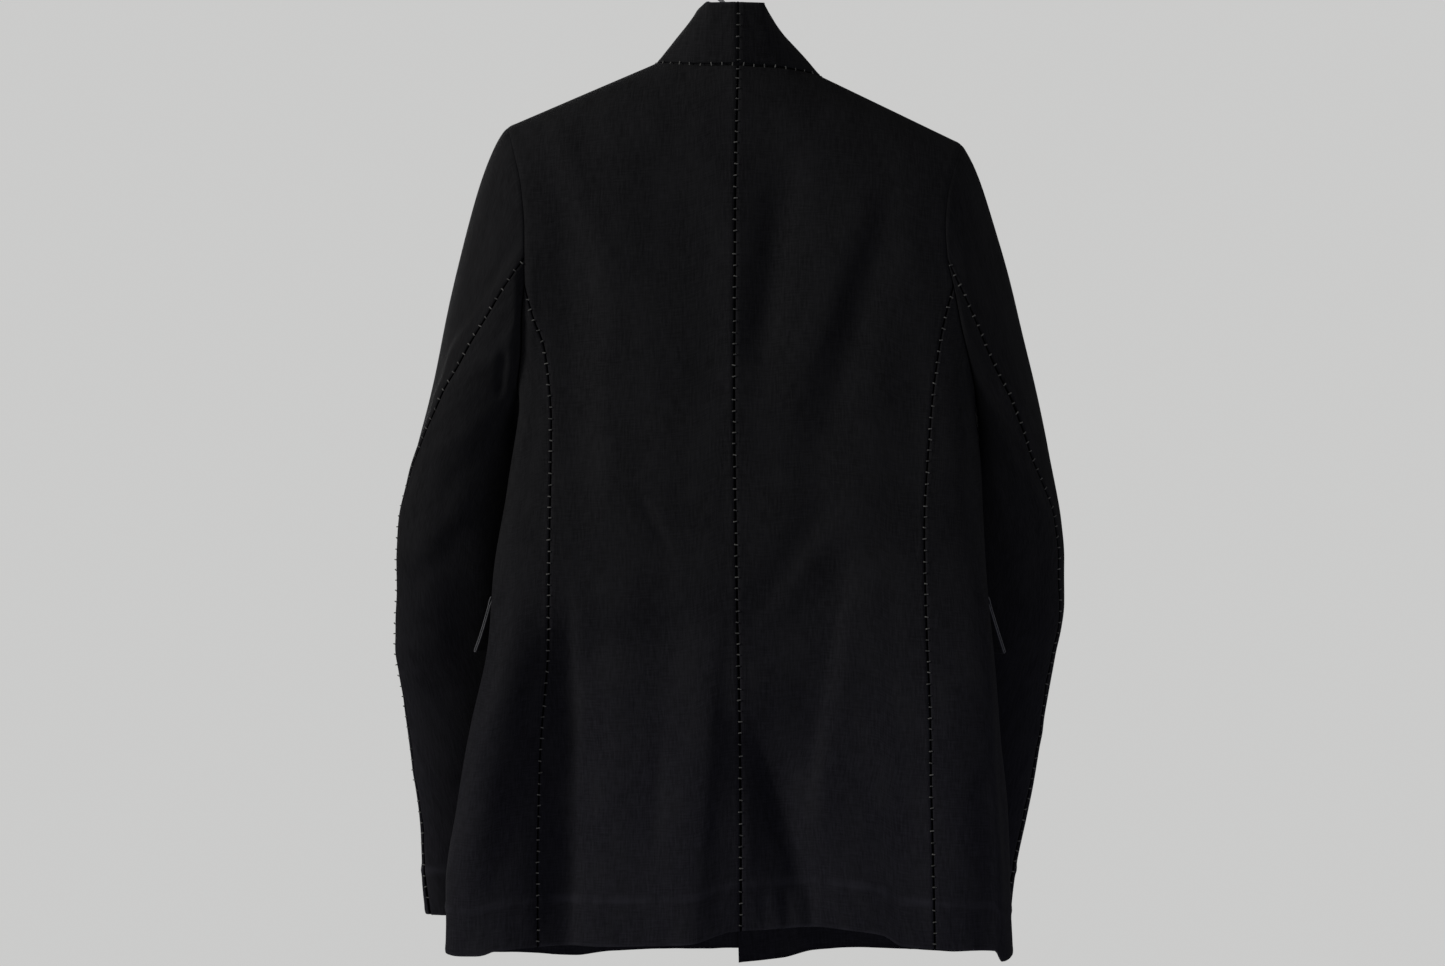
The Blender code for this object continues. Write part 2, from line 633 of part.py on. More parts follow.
def finish(item, finish_name):
    """Gives an object its own material and puts it in the blazer's collection."""
    colour, roughness, metallic = FINISHES[finish_name]
    material = bpy.data.materials.new(item.name)
    material.use_nodes = True
    shader = material.node_tree.nodes["Principled BSDF"]
    shader.inputs["Base Color"].default_value = colour
    shader.inputs["Roughness"].default_value = roughness
    shader.inputs["Metallic"].default_value = metallic
    material.diffuse_color = colour
    item.data.materials.clear()
    item.data.materials.append(material)
    for other in list(item.users_collection):
        other.objects.unlink(item)
    collection.objects.link(item)


def placed(points):
    """Garment millimetres to metres below the hook."""
    return (np.asarray(points) + (0.0, 0.0, -NECK_DROP)) * MM


def shorter_split(corners, quads):
    """Starts each face where its split, from the first corner to the third, is the shorter one."""
    places = corners[quads]
    spans = np.linalg.norm(places[:, 2:] - places[:, :2], axis=2)
    return np.where(spans[:, :1] > spans[:, 1:], np.roll(quads, -1, axis=1), quads)


def cloth_wall(name, outer, normals, thickness):
    """A closed wall of cloth between a grid of outer points and the same points moved inward."""
    outer = parted(outer)
    inner = outer - normals * thickness
    rows, columns = outer.shape[:2]
    index = np.arange(rows * columns).reshape(rows, columns)
    quads = np.stack((index[:-1, :-1], index[:-1, 1:], index[1:, 1:], index[1:, :-1]), axis=-1)
    quads = quads.reshape(-1, 4)
    corners = np.concatenate((outer.reshape(-1, 3), inner.reshape(-1, 3)))
    quads = shorter_split(corners, quads)
    rim = np.concatenate((index[0, :-1], index[:-1, -1], index[-1, :0:-1], index[:0:-1, 0]))
    rim_below = rim + rows * columns
    sides = np.stack((np.roll(rim, -1), rim, rim_below, np.roll(rim_below, -1)), axis=-1)
    sides = shorter_split(corners, sides)
    faces = np.concatenate((quads, quads[:, TURNED] + rows * columns, sides))
    across = (outer[0, 1] - outer[0, 0], outer[1, 0] - outer[0, 0])
    if np.dot(np.cross(*across), normals[0, 0]) < 0:
        faces = faces[:, TURNED]
    mesh = bpy.data.meshes.new(name)
    mesh.from_pydata(placed(corners).tolist(), [], faces.tolist())
    mesh.shade_smooth()
    mesh.set_sharp_from_angle(angle=math.radians(50))
    item = bpy.data.objects.new(name, mesh)
    collection.objects.link(item)
    finish(item, "cloth")
    return item


def build_cloth():
    collars = {}
    for side in (LEFT, RIGHT):
        name = SIDE_NAMES[side]
        back, front, middle = back_panel(side), front_panel(side), side_panel(side)
        cloth_wall("back_" + name, *back, CLOTH)
        cloth_wall("front_" + name, *front, CLOTH)
        cloth_wall("side_" + name, *middle, CLOTH)
        loop = armhole_loop(back[0], front[0], middle[0])
        loop_normals = armhole_loop(back[1], front[1], middle[1])
        upper, lower = sleeves(side, loop, loop_normals)
        cloth_wall("upper_sleeve_" + name, *upper, CLOTH)
        cloth_wall("under_sleeve_" + name, *lower, CLOTH)
        cloth_wall("lapel_" + name, *lapel(side), LAPEL)
        cloth_wall("pocket_flap_" + name, *pocket_flap(side), FLAP)
        collars[side] = collar_side(side, collar_edge(back[0], front[0]))
    upper_halves = []
    for side, leaf in collars.items():
        normals = surface_normals(leaf, side, before=collars[-side][:, 1])
        cloth_wall("under_collar_" + SIDE_NAMES[side], leaf, normals, LEAF)
        upper_halves.append(leaf - normals * (LEAF + LEAF_GAP))
    joined = np.concatenate((upper_halves[1][:, :0:-1], upper_halves[0]), axis=1)
    cloth_wall("upper_collar", joined, surface_normals(joined, LEFT), LEAF)


def build_buttons():
    for number, height in enumerate(BUTTON_HEIGHTS, start=1):
        x = float(centre_front(height))
        point, normal = front_surface(np.array([x]), np.array([height]), LEFT)
        middle = point[0] + normal[0] * (SEAM + BUTTON_THICKNESS / 2)
        bpy.ops.mesh.primitive_cylinder_add(
            vertices=BUTTON_SIDES, radius=BUTTON_RADIUS * MM, depth=BUTTON_THICKNESS * MM)
        button = bpy.context.object
        button.name = f"button_{number}"
        button.location = placed(middle)
        button.rotation_euler = Vector(normal[0]).to_track_quat("Z", "Y").to_euler()
        edge = button.modifiers.new("rounded edge", "BEVEL")
        edge.width = BUTTON_EDGE * MM
        edge.segments = 2
        edge.limit_method = "ANGLE"
        button.data.shade_smooth()
        button.data.set_sharp_from_angle(angle=math.radians(40))
        finish(button, "button")


def wire(name, points, radius, finish_name):
    """A round bar or wire along a run of points."""
    curve = bpy.data.curves.new(name, "CURVE")
    curve.dimensions = "3D"
    curve.bevel_depth = radius * MM
    curve.bevel_resolution = 2
    curve.use_fill_caps = True
    spline = curve.splines.new("POLY")
    spline.points.add(len(points) - 1)
    for point, place in zip(spline.points, placed(points)):
        point.co = (*place, 1.0)
    item = bpy.data.objects.new(name, curve)
    collection.objects.link(item)
    finish(item, finish_name)


def build_hanger():
    knots = [(0.0, BAR_PEAK)]
    for side in (LEFT, RIGHT):
        gap = (CLOTH + BAR_GAP + BAR_RADIUS) * math.hypot(1, SHOULDER_RISE[side])
        knots.append((side * BAR_NECK, ridge(BAR_NECK, side) - gap - BAR_NECK_SINK))
        for out in np.linspace(*BAR_SEAT, 4):
            knots.append((side * out, ridge(out, side) - gap))
    bar_height = through(knots)
    xs = np.linspace(-BAR_SEAT[1], BAR_SEAT[1], BAR_STEPS + 1)
    wire("hanger", np.stack((xs, 0 * xs, bar_height(xs)), axis=-1), BAR_RADIUS, "wood")

    foot = BAR_PEAK + BAR_RADIUS + SEAM
    centre = NECK_DROP - HOOK_RADIUS
    turn_radius = HOOK_RADIUS + WIRE_RADIUS
    start = math.radians(HOOK_START)
    bend = (turn_radius * math.cos(start), centre + turn_radius * math.sin(start))
    points = [(0, 0, foot), (0, 0, foot + SHANK / 2), (0, 0, foot + SHANK)]
    for share in SHANK_BENDS:
        points.append((bend[0] * share ** 2, 0, mix(foot + SHANK, bend[1], share)))
    for turn in np.radians(np.linspace(HOOK_START, HOOK_STOP, HOOK_STEPS + 1)):
        points.append((turn_radius * math.cos(turn), 0, centre + turn_radius * math.sin(turn)))
    wire("hook", points, WIRE_RADIUS, "steel")


start_scene()
build_cloth()
build_buttons()
build_hanger()
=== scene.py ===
"""Looks for a slim blazer with laced seams and a turned-up collar, hung on a plain hanger.

The cloth pieces are made as in the part's source, in millimetres in the garment's own frame:
x to the wearer's left, y towards the wearer's back, height above the collar seam's level.
They get finer steps, folds, shaped edges and a thickness, and their seams get threads.
"""
import math

import bmesh
import bpy
import numpy as np
from mathutils import Matrix, Vector


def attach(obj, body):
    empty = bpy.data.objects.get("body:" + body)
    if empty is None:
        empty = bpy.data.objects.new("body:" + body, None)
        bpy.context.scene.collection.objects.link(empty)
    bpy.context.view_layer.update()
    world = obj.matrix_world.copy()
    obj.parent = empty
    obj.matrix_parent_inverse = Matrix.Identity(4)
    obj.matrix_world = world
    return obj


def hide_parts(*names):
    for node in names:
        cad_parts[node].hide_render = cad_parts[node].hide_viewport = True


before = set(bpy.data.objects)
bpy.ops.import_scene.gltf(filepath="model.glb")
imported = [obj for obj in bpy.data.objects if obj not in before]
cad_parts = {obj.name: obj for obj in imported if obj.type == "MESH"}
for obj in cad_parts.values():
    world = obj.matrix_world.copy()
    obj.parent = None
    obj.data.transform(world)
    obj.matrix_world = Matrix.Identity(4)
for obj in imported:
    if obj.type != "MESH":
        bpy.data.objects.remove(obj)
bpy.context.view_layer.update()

MM = 0.001
NECK_DROP = 95.0            # collar seam's level below the hook's inner top
LEAF = 1.2                  # wall of each layer of the collar
LEAF_GAP = 0.6              # between the collar's two layers
LAPEL = 2.4                 # wall of a lapel, front cloth and facing together
FLAP = 3.0                  # wall of a pocket flap, two layers pressed together
SEAM = 0.3                  # gap between two pieces at a plain seam
LEFT, RIGHT = 1, -1
SIDE_NAMES = {LEFT: "left", RIGHT: "right"}

# The photo: its size, the pixel of the middle and of the collar seam, and the size of a pixel
PHOTO_MIDDLE, PHOTO_SEAM = 735.0, 68.0
PIXEL = 0.8333
CAMERA = (10.4, 1850.0, -346.0)
LENS, SENSOR = 55.3, 36.0

# Body rings: the widths run to the sides, the depths to the back and the front
TORSO = (
    # height, left width, right width, side y, back depth, back power, front depth, front power
    (40, 228, 232, 0, 48, 2.6, 40, 2.5),
    (-60, 224, 230, 0, 56, 2.6, 46, 2.4),
    (-130, 213, 222, 0, 60, 2.8, 50, 2.3),
    (-200, 199, 211, 0, 60, 3.0, 52, 2.2),
    (-277, 179, 199, 0, 58, 3.1, 52, 2.1),
    (-343, 188, 205, 1, 54, 3.3, 50, 2.0),
    (-410, 198, 207, 2, 50, 3.6, 48, 1.9),
    (-477, 204, 212, 3, 50, 4.0, 49, 1.8),
    (-543, 217, 218, 4, 53, 4.4, 52, 1.8),
    (-610, 228, 224, 5, 57, 4.9, 55, 1.7),
    (-677, 237, 226, 6, 60, 5.2, 58, 1.7),
    (-760, 237, 226.5, 6, 62, 5.4, 60, 1.7),
)
CROWN_DEPTH = 85.0          # drop over which the body rounds over at the shoulder
CROWN_POWER = 2.2
CROWN_LEVEL = (5.0, 60.0)   # the two sides' shoulder lines are levelled out between these distances

# Where the seams lie: height, then distance out from the middle (x for the centre seams)
CENTRE_BACK = ((0, -2.5), (-110, 0), (-277, 1), (-415, -1), (-577, -4), (-745, -4.5))
SIDE_BACK = {
    LEFT: ((-186, 172.5), (-212, 165), (-240, 157), (-303, 152), (-409, 152), (-482, 154),
           (-573, 159), (-658, 160), (-745, 160)),
    RIGHT: ((-186, 177.5), (-228, 167), (-292, 159), (-386, 154), (-535, 154), (-652, 156),
            (-745, 159)),
}
SIDE_FRONT = {
    LEFT: ((-186, 166), (-240, 156), (-340, 146), (-450, 144), (-600, 152), (-760, 156)),
    RIGHT: ((-186, 168), (-240, 160), (-340, 150), (-450, 146), (-600, 148), (-760, 150)),
}
ARMHOLE_BACK = {
    LEFT: ((-186, 172.5), (-141, 172.5), (-105, 175), (-77, 181), (-50, 189)),
    RIGHT: ((-186, 177.5), (-165, 173), (-137, 171), (-112, 173), (-89, 179), (-64, 188)),
}
ARMHOLE_FRONT = {
    LEFT: ((-186, 166), (-160, 163), (-120, 164), (-85, 173), (-50, 189)),
    RIGHT: ((-186, 168), (-160, 164), (-125, 165), (-92, 174), (-64, 188)),
}
ARMHOLE_CORNER = -186.0     # height where the side panel's seams run into the armhole
ARMPIT = {LEFT: -272.0, RIGHT: -274.0}
UNDERARM_POWER = 1.8

# Shoulder line: height and distance of its tip, and its rise towards the neck
TIP_HEIGHT = {LEFT: -50.0, RIGHT: -64.0}
TIP_OUT = {LEFT: 189.0, RIGHT: 188.0}
SHOULDER_RISE = {LEFT: 0.427, RIGHT: 0.48}
NECK_OUT = {LEFT: 66.0, RIGHT: 72.0}
NECK_CENTRE = -5.0          # height of the neckline at the centre back
NECKLINE_POWER = 2.5

# Hems: x, then height over the back; distance out, then height over each front
HEM_BACK = ((-229, -731), (-213, -732.5), (-206, -723), (-162, -720), (-134, -718), (-118, -709),
            (-88, -705), (-62, -703), (-19, -705), (3, -706), (36, -715), (99, -719),
            (163, -720.5), (194, -723.5), (205, -727.5), (240, -730))
HEM_FRONT = {
    LEFT: ((-40, -745), (108, -744), (135, -747), (183, -742), (240, -738)),
    RIGHT: ((3, -757), (42, -752), (67, -745), (110, -741), (150, -741), (180, -741), (229, -733)),
}
HEM_LEVEL = -735.0          # where the side panel's columns are set out

# Front opening: the centre front, the overlap past it and where the lapel turns
CENTRE_FRONT = ((0, -4), (-330, -10), (-545, -17), (-770, -22))
OVERLAP = 18.0
BREAK_HEIGHT = -330.0
ROLL_TOP_OUT = 56.0
ROLL_TOP_HEIGHT = -16.0
OVERLAP_LIFT = 2.2          # the left front lies this far out over the right one
OVERLAP_FADE = (22.0, 46.0)  # distance from the centre front where that lift starts to fade, and ends

# Drapes: soft ridges and troughs, each from one end to the other
DRAPE_FADE = (-0.25, 0.3)   # shares of a drape's length between which it swells from nothing
DRAPES_BACK = (
    # x, height, x, height, half width, depth
    (150, -90, 128, -400, 20, -6.0),
    (134, -480, 137, -760, 26, -14.0),
    (180, -470, 216, -700, 18, 11.0),
    (24, -520, 36, -760, 34, 8.0),
    (-14, -550, -64, -700, 22, -11.0),
    (-150, -480, -164, -760, 44, 6.0),
    (-34, -110, -14, -260, 16, -3.5),
    (-122, -140, -70, -320, 18, -4.5),
    (150, -488, 10, -478, 26, -5.0),
    (-10, -490, -100, -405, 24, -5.0),
)
DRAPES_FRONT = (
    (110, -520, 118, -770, 26, -5.0),
    (-100, -500, -104, -770, 28, -5.0),
)

# Folds finer than the drapes, laid out in the photo's pixels as its camera sees them
BACK_FOLDS = (
    # pixel across, down, to pixel across, down, width before, width after, depth
    (513, 640, 462, 860, 12, 30, 8.0),
    (568, 640, 570, 965, 48, 8, -12.5),
    (714, 640, 690, 965, 34, 12, 4.5),
    (605, 685, 605, 755, 8, 5, -1.2),
    (662, 730, 658, 845, 9, 6, -1.5),
    (545, 668, 722, 612, 22, 34, -3.2),
    (579, 598, 600, 586, 5, 6, -1.0),
    (838, 595, 800, 810, 40, 12, -7.5),
    (757, 750, 806, 895, 10, 9, -3.6),
    (751, 745, 750, 880, 8, 5, 1.4),
    (812, 876, 812, 935, 8, 4, -1.8),
    (976, 590, 996, 965, 56, 10, 11.0),
    (984, 770, 988, 970, 16, 7, -3.2),
    (990, 760, 972, 800, 6, 5, -1.4),
    (955, 680, 950, 765, 18, 14, 1.8),
    (532, 250, 532, 355, 6, 5, 1.6),
    (504, 338, 525, 408, 6, 9, 2.6),
    (527, 408, 506, 505, 5, 8, 2.2),
    (552, 115, 610, 280, 14, 14, 2.4),
    (582, 170, 588, 480, 30, 16, -3.0),
    (640, 498, 668, 548, 7, 5, -2.0),
    (788, 170, 766, 355, 18, 15, -2.8),
    (872, 190, 796, 396, 28, 14, 3.0),
    (962, 350, 958, 505, 34, 13, 3.2),
    (826, 510, 750, 622, 22, 13, -4.2),
    (733, 60, 736, 430, 26, 20, 2.0),
    (618, 912, 624, 944, 6, 5, -1.0),
    (764, 890, 766, 925, 5, 5, -1.0),
    (785, 888, 788, 925, 6, 5, -1.0),
)
FRONT_FOLDS = (
    (560, 300, 690, 470, 14, 14, -1.6),
    (590, 270, 700, 440, 14, 14, 1.4),
    (545, 430, 690, 500, 14, 12, 1.6),
    (550, 500, 700, 530, 14, 12, -1.4),
    (905, 300, 800, 460, 14, 14, -1.5),
    (930, 440, 790, 500, 13, 12, -1.5),
    (920, 500, 790, 540, 13, 12, 1.3),
    (640, 600, 655, 930, 16, 16, 1.8),
    (690, 620, 700, 930, 14, 14, -1.4),
    (820, 600, 810, 930, 16, 16, 1.8),
    (770, 640, 768, 930, 12, 12, -1.2),
    (905, 620, 915, 930, 16, 16, 1.4),
    (560, 640, 556, 930, 14, 14, 1.4),
)
SLEEVE_FOLDS = (
    (518, 262, 457, 354, 7, 42, 7.0),
    (457, 354, 407, 500, 6, 46, 6.0),
    (407, 500, 403, 696, 8, 40, 6.0),
    (520, 312, 497, 360, 4, 6, 2.2),
    (512, 340, 506, 392, 4, 4, 1.8),
    (503, 345, 499, 392, 4, 5, -2.2),
    (515, 340, 440, 398, 9, 9, 1.8),
    (520, 372, 440, 440, 9, 9, -1.6),
    (500, 300, 455, 350, 9, 9, -1.2),
    (488, 400, 425, 470, 10, 11, 1.6),
    (478, 450, 425, 520, 10, 12, -1.6),
    (470, 500, 405, 560, 12, 12, 1.5),
    (455, 545, 400, 600, 12, 12, -1.8),
    (395, 655, 450, 640, 12, 12, 1.2),
    (400, 700, 455, 690, 10, 12, -1.0),
    (405, 770, 455, 780, 12, 12, 1.0),
    (412, 830, 460, 825, 10, 10, -0.9),
    (960, 245, 985, 335, 9, 9, 1.4),
    (975, 370, 1040, 420, 9, 9, 1.5),
    (980, 400, 1045, 470, 10, 10, -1.6),
    (1000, 440, 1055, 520, 11, 10, 1.6),
    (1010, 490, 1062, 590, 12, 11, -1.5),
    (1000, 560, 1062, 640, 11, 11, 1.4),
    (1000, 660, 1060, 690, 10, 11, -1.1),
    (1000, 740, 1055, 730, 11, 11, 1.1),
    (1000, 800, 1050, 815, 11, 11, -0.9),
)
SLEEVE_FRONT_FOLDS = (
    (495, 330, 430, 400, 10, 10, -1.8),
    (490, 380, 425, 440, 10, 10, 1.6),
    (480, 450, 405, 500, 11, 11, -1.9),
    (470, 490, 400, 545, 11, 11, 1.7),
    (460, 560, 400, 590, 11, 11, -1.4),
    (400, 680, 460, 700, 12, 12, 1.1),
    (975, 330, 1035, 400, 10, 10, -1.8),
    (985, 390, 1045, 450, 10, 10, 1.6),
    (995, 460, 1060, 510, 11, 11, -1.9),
    (1000, 510, 1062, 560, 11, 11, 1.7),
    (1005, 570, 1062, 610, 11, 11, -1.4),
    (1000, 700, 1055, 690, 12, 12, 1.1),
)
FACING = (0.05, 0.55)       # a fold swells in as the cloth turns towards its side
CAP_FADE = 14.0             # a sleeve's folds swell in over this distance from the armhole
RIDGE_FADE = 40.0           # the body's folds fade over this height below the shoulder line
UNEVEN = (
    # pixels across, pixels down, phase, depth
    (71, 470, 0.4, 0.2),
    (-97, 520, 2.1, 0.3),
    (47, -330, 4.0, 0.1),
    (-151, 250, 1.2, 0.3),
    (230, 135, 5.2, 0.3),
)

# Sleeves below the armpit, ring by ring
SLEEVE = {
    LEFT: (
        # height, outermost, width, middle y, half depth, turn towards the wall in degrees
        (-312, 268, 86, -30, 50, 19),
        (-343, 275, 92, -35, 46, 19),
        (-393, 285, 101, -38, 40, 18),
        (-430, 285, 108, -41, 34, 17),
        (-479, 283, 116, -48, 28, 18),
        (-530, 280, 120, -51, 25, 18),
        (-581, 274, 121, -52, 23, 18),
        (-633, 268, 121, -52, 21, 18),
        (-684, 265, 121, -52, 20, 18),
        (-716, 262, 121, -52, 20, 18),
    ),
    RIGHT: (
        (-312, 266, 64, -31, 50, 17),
        (-345, 272, 74, -38, 46, 18),
        (-378, 277, 84, -43, 42, 18),
        (-411, 280, 93, -46, 36, 17),
        (-445, 280, 102, -47, 31, 18),
        (-495, 272, 112, -51, 27, 18),
        (-547, 263, 115, -54, 24, 18),
        (-615, 251, 118, -56, 22, 18),
        (-684, 238, 118, -57, 20, 18),
        (-716, 234, 118, -57, 20, 18),
    ),
}
CUFF_HEIGHT = {LEFT: -711.0, RIGHT: -712.0}
SLEEVE_POWER = 2.15
# How far the cap leans out from the armhole, at the armpit and at the shoulder's tip, and how
# strongly it runs on into the sleeve below
CAP_SPREAD = {LEFT: (0.28, 0.95), RIGHT: (0.25, 0.8)}
CAP_SETTLE = {LEFT: 0.75, RIGHT: 0.36}
CAP_SWING = 0.5
CAP_RISE = 1.5              # above 1, the spread grows mostly near the tip
CAP_CLOSING = 1.35          # how much closer the cap's rows come towards the armhole
# The elbow seam runs this far in from the sleeve's outer edge
ELBOW_INSET = {
    LEFT: ((-312, 6), (-360, 3), (-400, 2.5), (-600, 2), (-660, 3), (-716, 6.5)),
    RIGHT: ((-312, 14), (-345, 9), (-378, 5), (-411, 4.5), (-600, 3.5), (-716, 5)),
}
FOREARM_TURN = ((-312, 205), (-400, 192), (-716, 186))

# Collar, turned up: the leaf from the neckline to its edge, by the share of the way round
COLLAR_LEAF = {
    # share, out, back, up
    LEFT: ((0.0, 0, 3, 50), (0.18, -1, 3, 50), (0.3, -12, 2, 51), (0.45, -23, -1, 46.5),
           (0.68, -38, -9, 42), (0.85, -31, -17, 44), (1.0, -20, -24, 44)),
    RIGHT: ((0.0, 0, 3, 50), (0.18, -1, 3, 51), (0.3, -13, 2, 51.5), (0.45, -25, -1, 47.5),
            (0.68, -40, -9, 44), (0.85, -34, -17, 45), (1.0, -20, -24, 46)),
}
COLLAR_BOW = 1.5
COLLAR_TUCK = 1.6           # how far the upper collar's lower edge lies further in

# Lapel: height, then distance across from the roll line to the outer edge
LAPEL_EDGE = ((-330, 2), (-300, 16), (-270, 27), (-240, 37), (-210, 46), (-180, 53), (-150, 60),
              (-120, 66), (-92, 71), (-82, 56), (-60, 34), (-38, 18), (-17, 5))
LAPEL_STAND = 0.9           # gap between a lapel and its front
LAPEL_ROLL = 2.5            # extra lift beside the roll line
LAPEL_LAP = 2.0             # the lapel's inner edge covers the front's by this much
RIGHT_LAPEL_END = -285.0    # where the right lapel runs in under the left front
LAPEL_CLEAR = 3.0           # how far it keeps from the left front's edge
LAPEL_STEP = 0.25           # its rows, as a share of the way between two heights of its edge

# Pocket flaps, hung on the fronts from just past the sides
FLAP_TOP = -441.0
FLAP_DEPTH = 47.0
FLAP_TURNS = (94.0, 158.0)  # angle round the body where a flap starts and ends
FLAP_STAND_TOP = 0.5        # gap behind the flap at its top
FLAP_STAND_REAR = 12.0      # gap behind its lower edge at the side
FLAP_STAND_FRONT = 1.5      # gap behind its lower edge at the front
FLAP_LAYER = 1.15           # each of its two layers
FLAP_COLUMNS, FLAP_ROWS = 56, 22
FLAP_CLOSING = 0.8          # its rows come closer towards its lower edge where this is below 1
FLAP_BENDS = np.radians(np.linspace(15, 165, 11))    # round the fold at its bottom
FLAP_BULGE = 1.25           # how much deeper than a half circle that fold is
FLAP_LINES = 2.4            # spacing of its final mesh lines

BUTTON_HEIGHTS = (-338.0, -428.0, -518.0)
BUTTON_THICKNESS = 3.4
BUTTON_FACE = 0.95          # its sunk face's height above its middle
BUTTON_PROFILE = (
    # radius, height
    (6.2, 0.9), (7.4, 1.25), (8.2, 1.7), (9.1, 1.75), (9.75, 1.35), (10.0, 0.6), (9.8, -0.4),
    (8.8, -1.3), (7.0, -1.7),
)
BUTTON_SIDES = 48
BUTTON_HOLE_OUT = 1.7       # across and up from its middle
BUTTON_HOLE_RADIUS = 0.95
BUTTON_HOLE_SIDES = 20
BUTTON_CREASE = math.radians(50)    # an edge sharper than this is shaded as an edge

# Mesh steps, five times as fine as in the part's source
ROWS_LOW = 100              # hem to the armhole's corner
ROWS_HIGH = 45              # armhole's corner to the shoulder
ROW_CLOSING = 1.6           # how much closer those rows come towards the shoulder
NECK_STEPS = 25
SHOULDER_STEPS = 35
FRONT_NECK_STEPS = 10
SIDE_STEPS = 35
CAP_ROWS = 40
ARM_ROWS = 70
COLLAR_ROWS = 16
LAPEL_COLUMNS = 14
ELBOW_INDEX = 40            # place on the armhole, counted from the tip
FOREARM_INDEX = 85
LINE_STEP = 3.2             # spacing of the final mesh lines across and along the cloth
EDGE_LINES = np.array((0, 0.4, 1.0, 1.9, 3.2, 5.0, 7.5))    # closer lines beside each edge
EDGE_SHARE = 0.4            # they take up to this share of a narrow piece

# Edges of a piece: free, sewn plainly, or laced to its neighbour over a narrow gap
FREE, PLAIN, LACED = -1.0, 0.0, 1.0
LACED_GAP = 2.5
CLOTH = 1.2                 # thickness of the shell cloth
TURNED_UNDER = (7.0, 10.0)  # a laced edge is double over this distance
EDGE_FORMS = {
    # height of a ridge beside the edge, its distance in, its width, drop at the edge, its width
    LACED: (0.25, 2.6, 1.7, 0.45, 0.7),
    FREE: (0.3, 3.5, 3.0, 0.25, 0.8),
    PLAIN: (0.15, 4.2, 2.4, 0.6, 1.3),
}
# Lines round a shell's rim: their depth as a share of the wall, and their distance out. Laced
# edges' folds meet under the gap
RIM = (
    # depth and distance out at a plain edge, then at a laced one
    (0.25, 0.2, 0.2, 0.16),
    (0.5, 0.3, 0.62, 0.1),
    (0.6, 0.3, 0.7, 1.5),
    (0.8, 0.2, 0.97, 1.5),
)
# A turned-up allowance marks the outside, where the cloth is rubbed paler
HEM_BAND = 37.0
CUFF_BAND = 38.0
BAND_LIFT, BAND_WALL = 0.3, 0.9    # how much it lifts and thickens the cloth
BAND_MARK = (0.9, 3.2)      # height and width of the ridge where it ends
BAND_CREASE = 0.6           # depth of the small creases in it
BAND_WAVES = (5.3, 8.9, 17.0, 41.0)    # their spacing: along the hem twice, up it and at a slant
EDGE_WEAR, BAND_WEAR = 1.6, 2.6    # distances over which that wear fades

# The cut of each cloth piece, laid flat at its seam lines; seam, hem and cuff allowances come on top
CUTS = {
    # how it is held, what it hangs from, then its width, length and area in square metres, left and right
    "back": ("hung", "hanger", (195, 735, 0.1235), (192, 720, 0.119)),
    "front": ("hung", "hanger", (197, 773, 0.1277), (165, 769, 0.1098)),
    "side": ("hung", "back", (224, 561, 0.0817), (214, 556, 0.0831)),
    "upper_sleeve": ("hung", "back", (216, 687, 0.0966), (201, 682, 0.0926)),
    "under_sleeve": ("hung", "back", (223, 583, 0.0718), (208, 582, 0.0629)),
    "lapel": ("folded", "front", (75, 367, 0.0144), (75, 310, 0.0132)),
    "under_collar": ("folded", "back", (128, 59, 0.0072), (119, 61, 0.0068)),
    "upper_collar": ("folded", "under_collar_left", (240, 61, 0.013)),
    "pocket_flap": ("folded", "front", (159, 101, 0.015), (164, 102, 0.0155)),
}

# Lacing threads. What differs from one to the next has a size, a pace and a start
THREAD_STEP = 9.03
THREAD_MARGIN = 2.0         # left free at a seam's end
SEAM_LOOK = 0.5             # the seam's direction is taken over this distance
STRAY_ALONG = (0.45, 5.3, 0.0)
STRAY_ACROSS = (0.45, 4.4, 1.0)
SLANT = (0.22, 2.4, 0.7)
LENGTHENED = (0.16, 3.9, 0.0)
THREAD_RADIUS = 0.5
THREAD_REACH = 0.3          # how far a thread runs over the cloth past the gap
THREAD_SIDES = 6
THREAD_FLATNESS = 0.8
THREAD_SHAPE = (
    # share of half its length, lift, share of its radius
    (-1.0, -0.3, 0.3), (-0.97, 0.15, 0.85), (-0.8, 0.67, 1.0), (-0.4, 0.67, 1.0), (0.0, 0.61, 1.0),
    (0.4, 0.67, 1.0), (0.8, 0.67, 1.0), (0.97, 0.15, 0.85), (1.0, -0.3, 0.3),
)


def through(table, column=1):
    """A smooth curve, with no overshoot, through one column of a table by its first column."""
    rows = sorted(table)
    keys = np.array([row[0] for row in rows], float)
    values = np.array([row[column] for row in rows], float)
    secants = np.diff(values) / np.diff(keys)
    slopes = np.concatenate((secants[:1], np.zeros(len(keys) - 2), secants[-1:]))
    same = secants[:-1] * secants[1:] > 0
    before, after = secants[:-1][same], secants[1:][same]
    slopes[1:-1][same] = 2 * before * after / (before + after)

    def curve(query):
        query = np.clip(query, keys[0], keys[-1])
        place = np.clip(np.searchsorted(keys, query) - 1, 0, len(keys) - 2)
        span = keys[place + 1] - keys[place]
        t = (query - keys[place]) / span
        start = (1 + 2 * t) * (1 - t) ** 2 * values[place] + t * (1 - t) ** 2 * span * slopes[place]
        end = t * t * (3 - 2 * t) * values[place + 1] + t * t * (t - 1) * span * slopes[place + 1]
        return start + end

    return curve


def both_sides(tables):
    return {side: through(tables[side]) for side in (LEFT, RIGHT)}


def smooth_step(low, high, value):
    t = np.clip((value - low) / (high - low), 0, 1)
    return t * t * (3 - 2 * t)


def unit(vectors):
    return vectors / np.linalg.norm(vectors, axis=-1, keepdims=True)


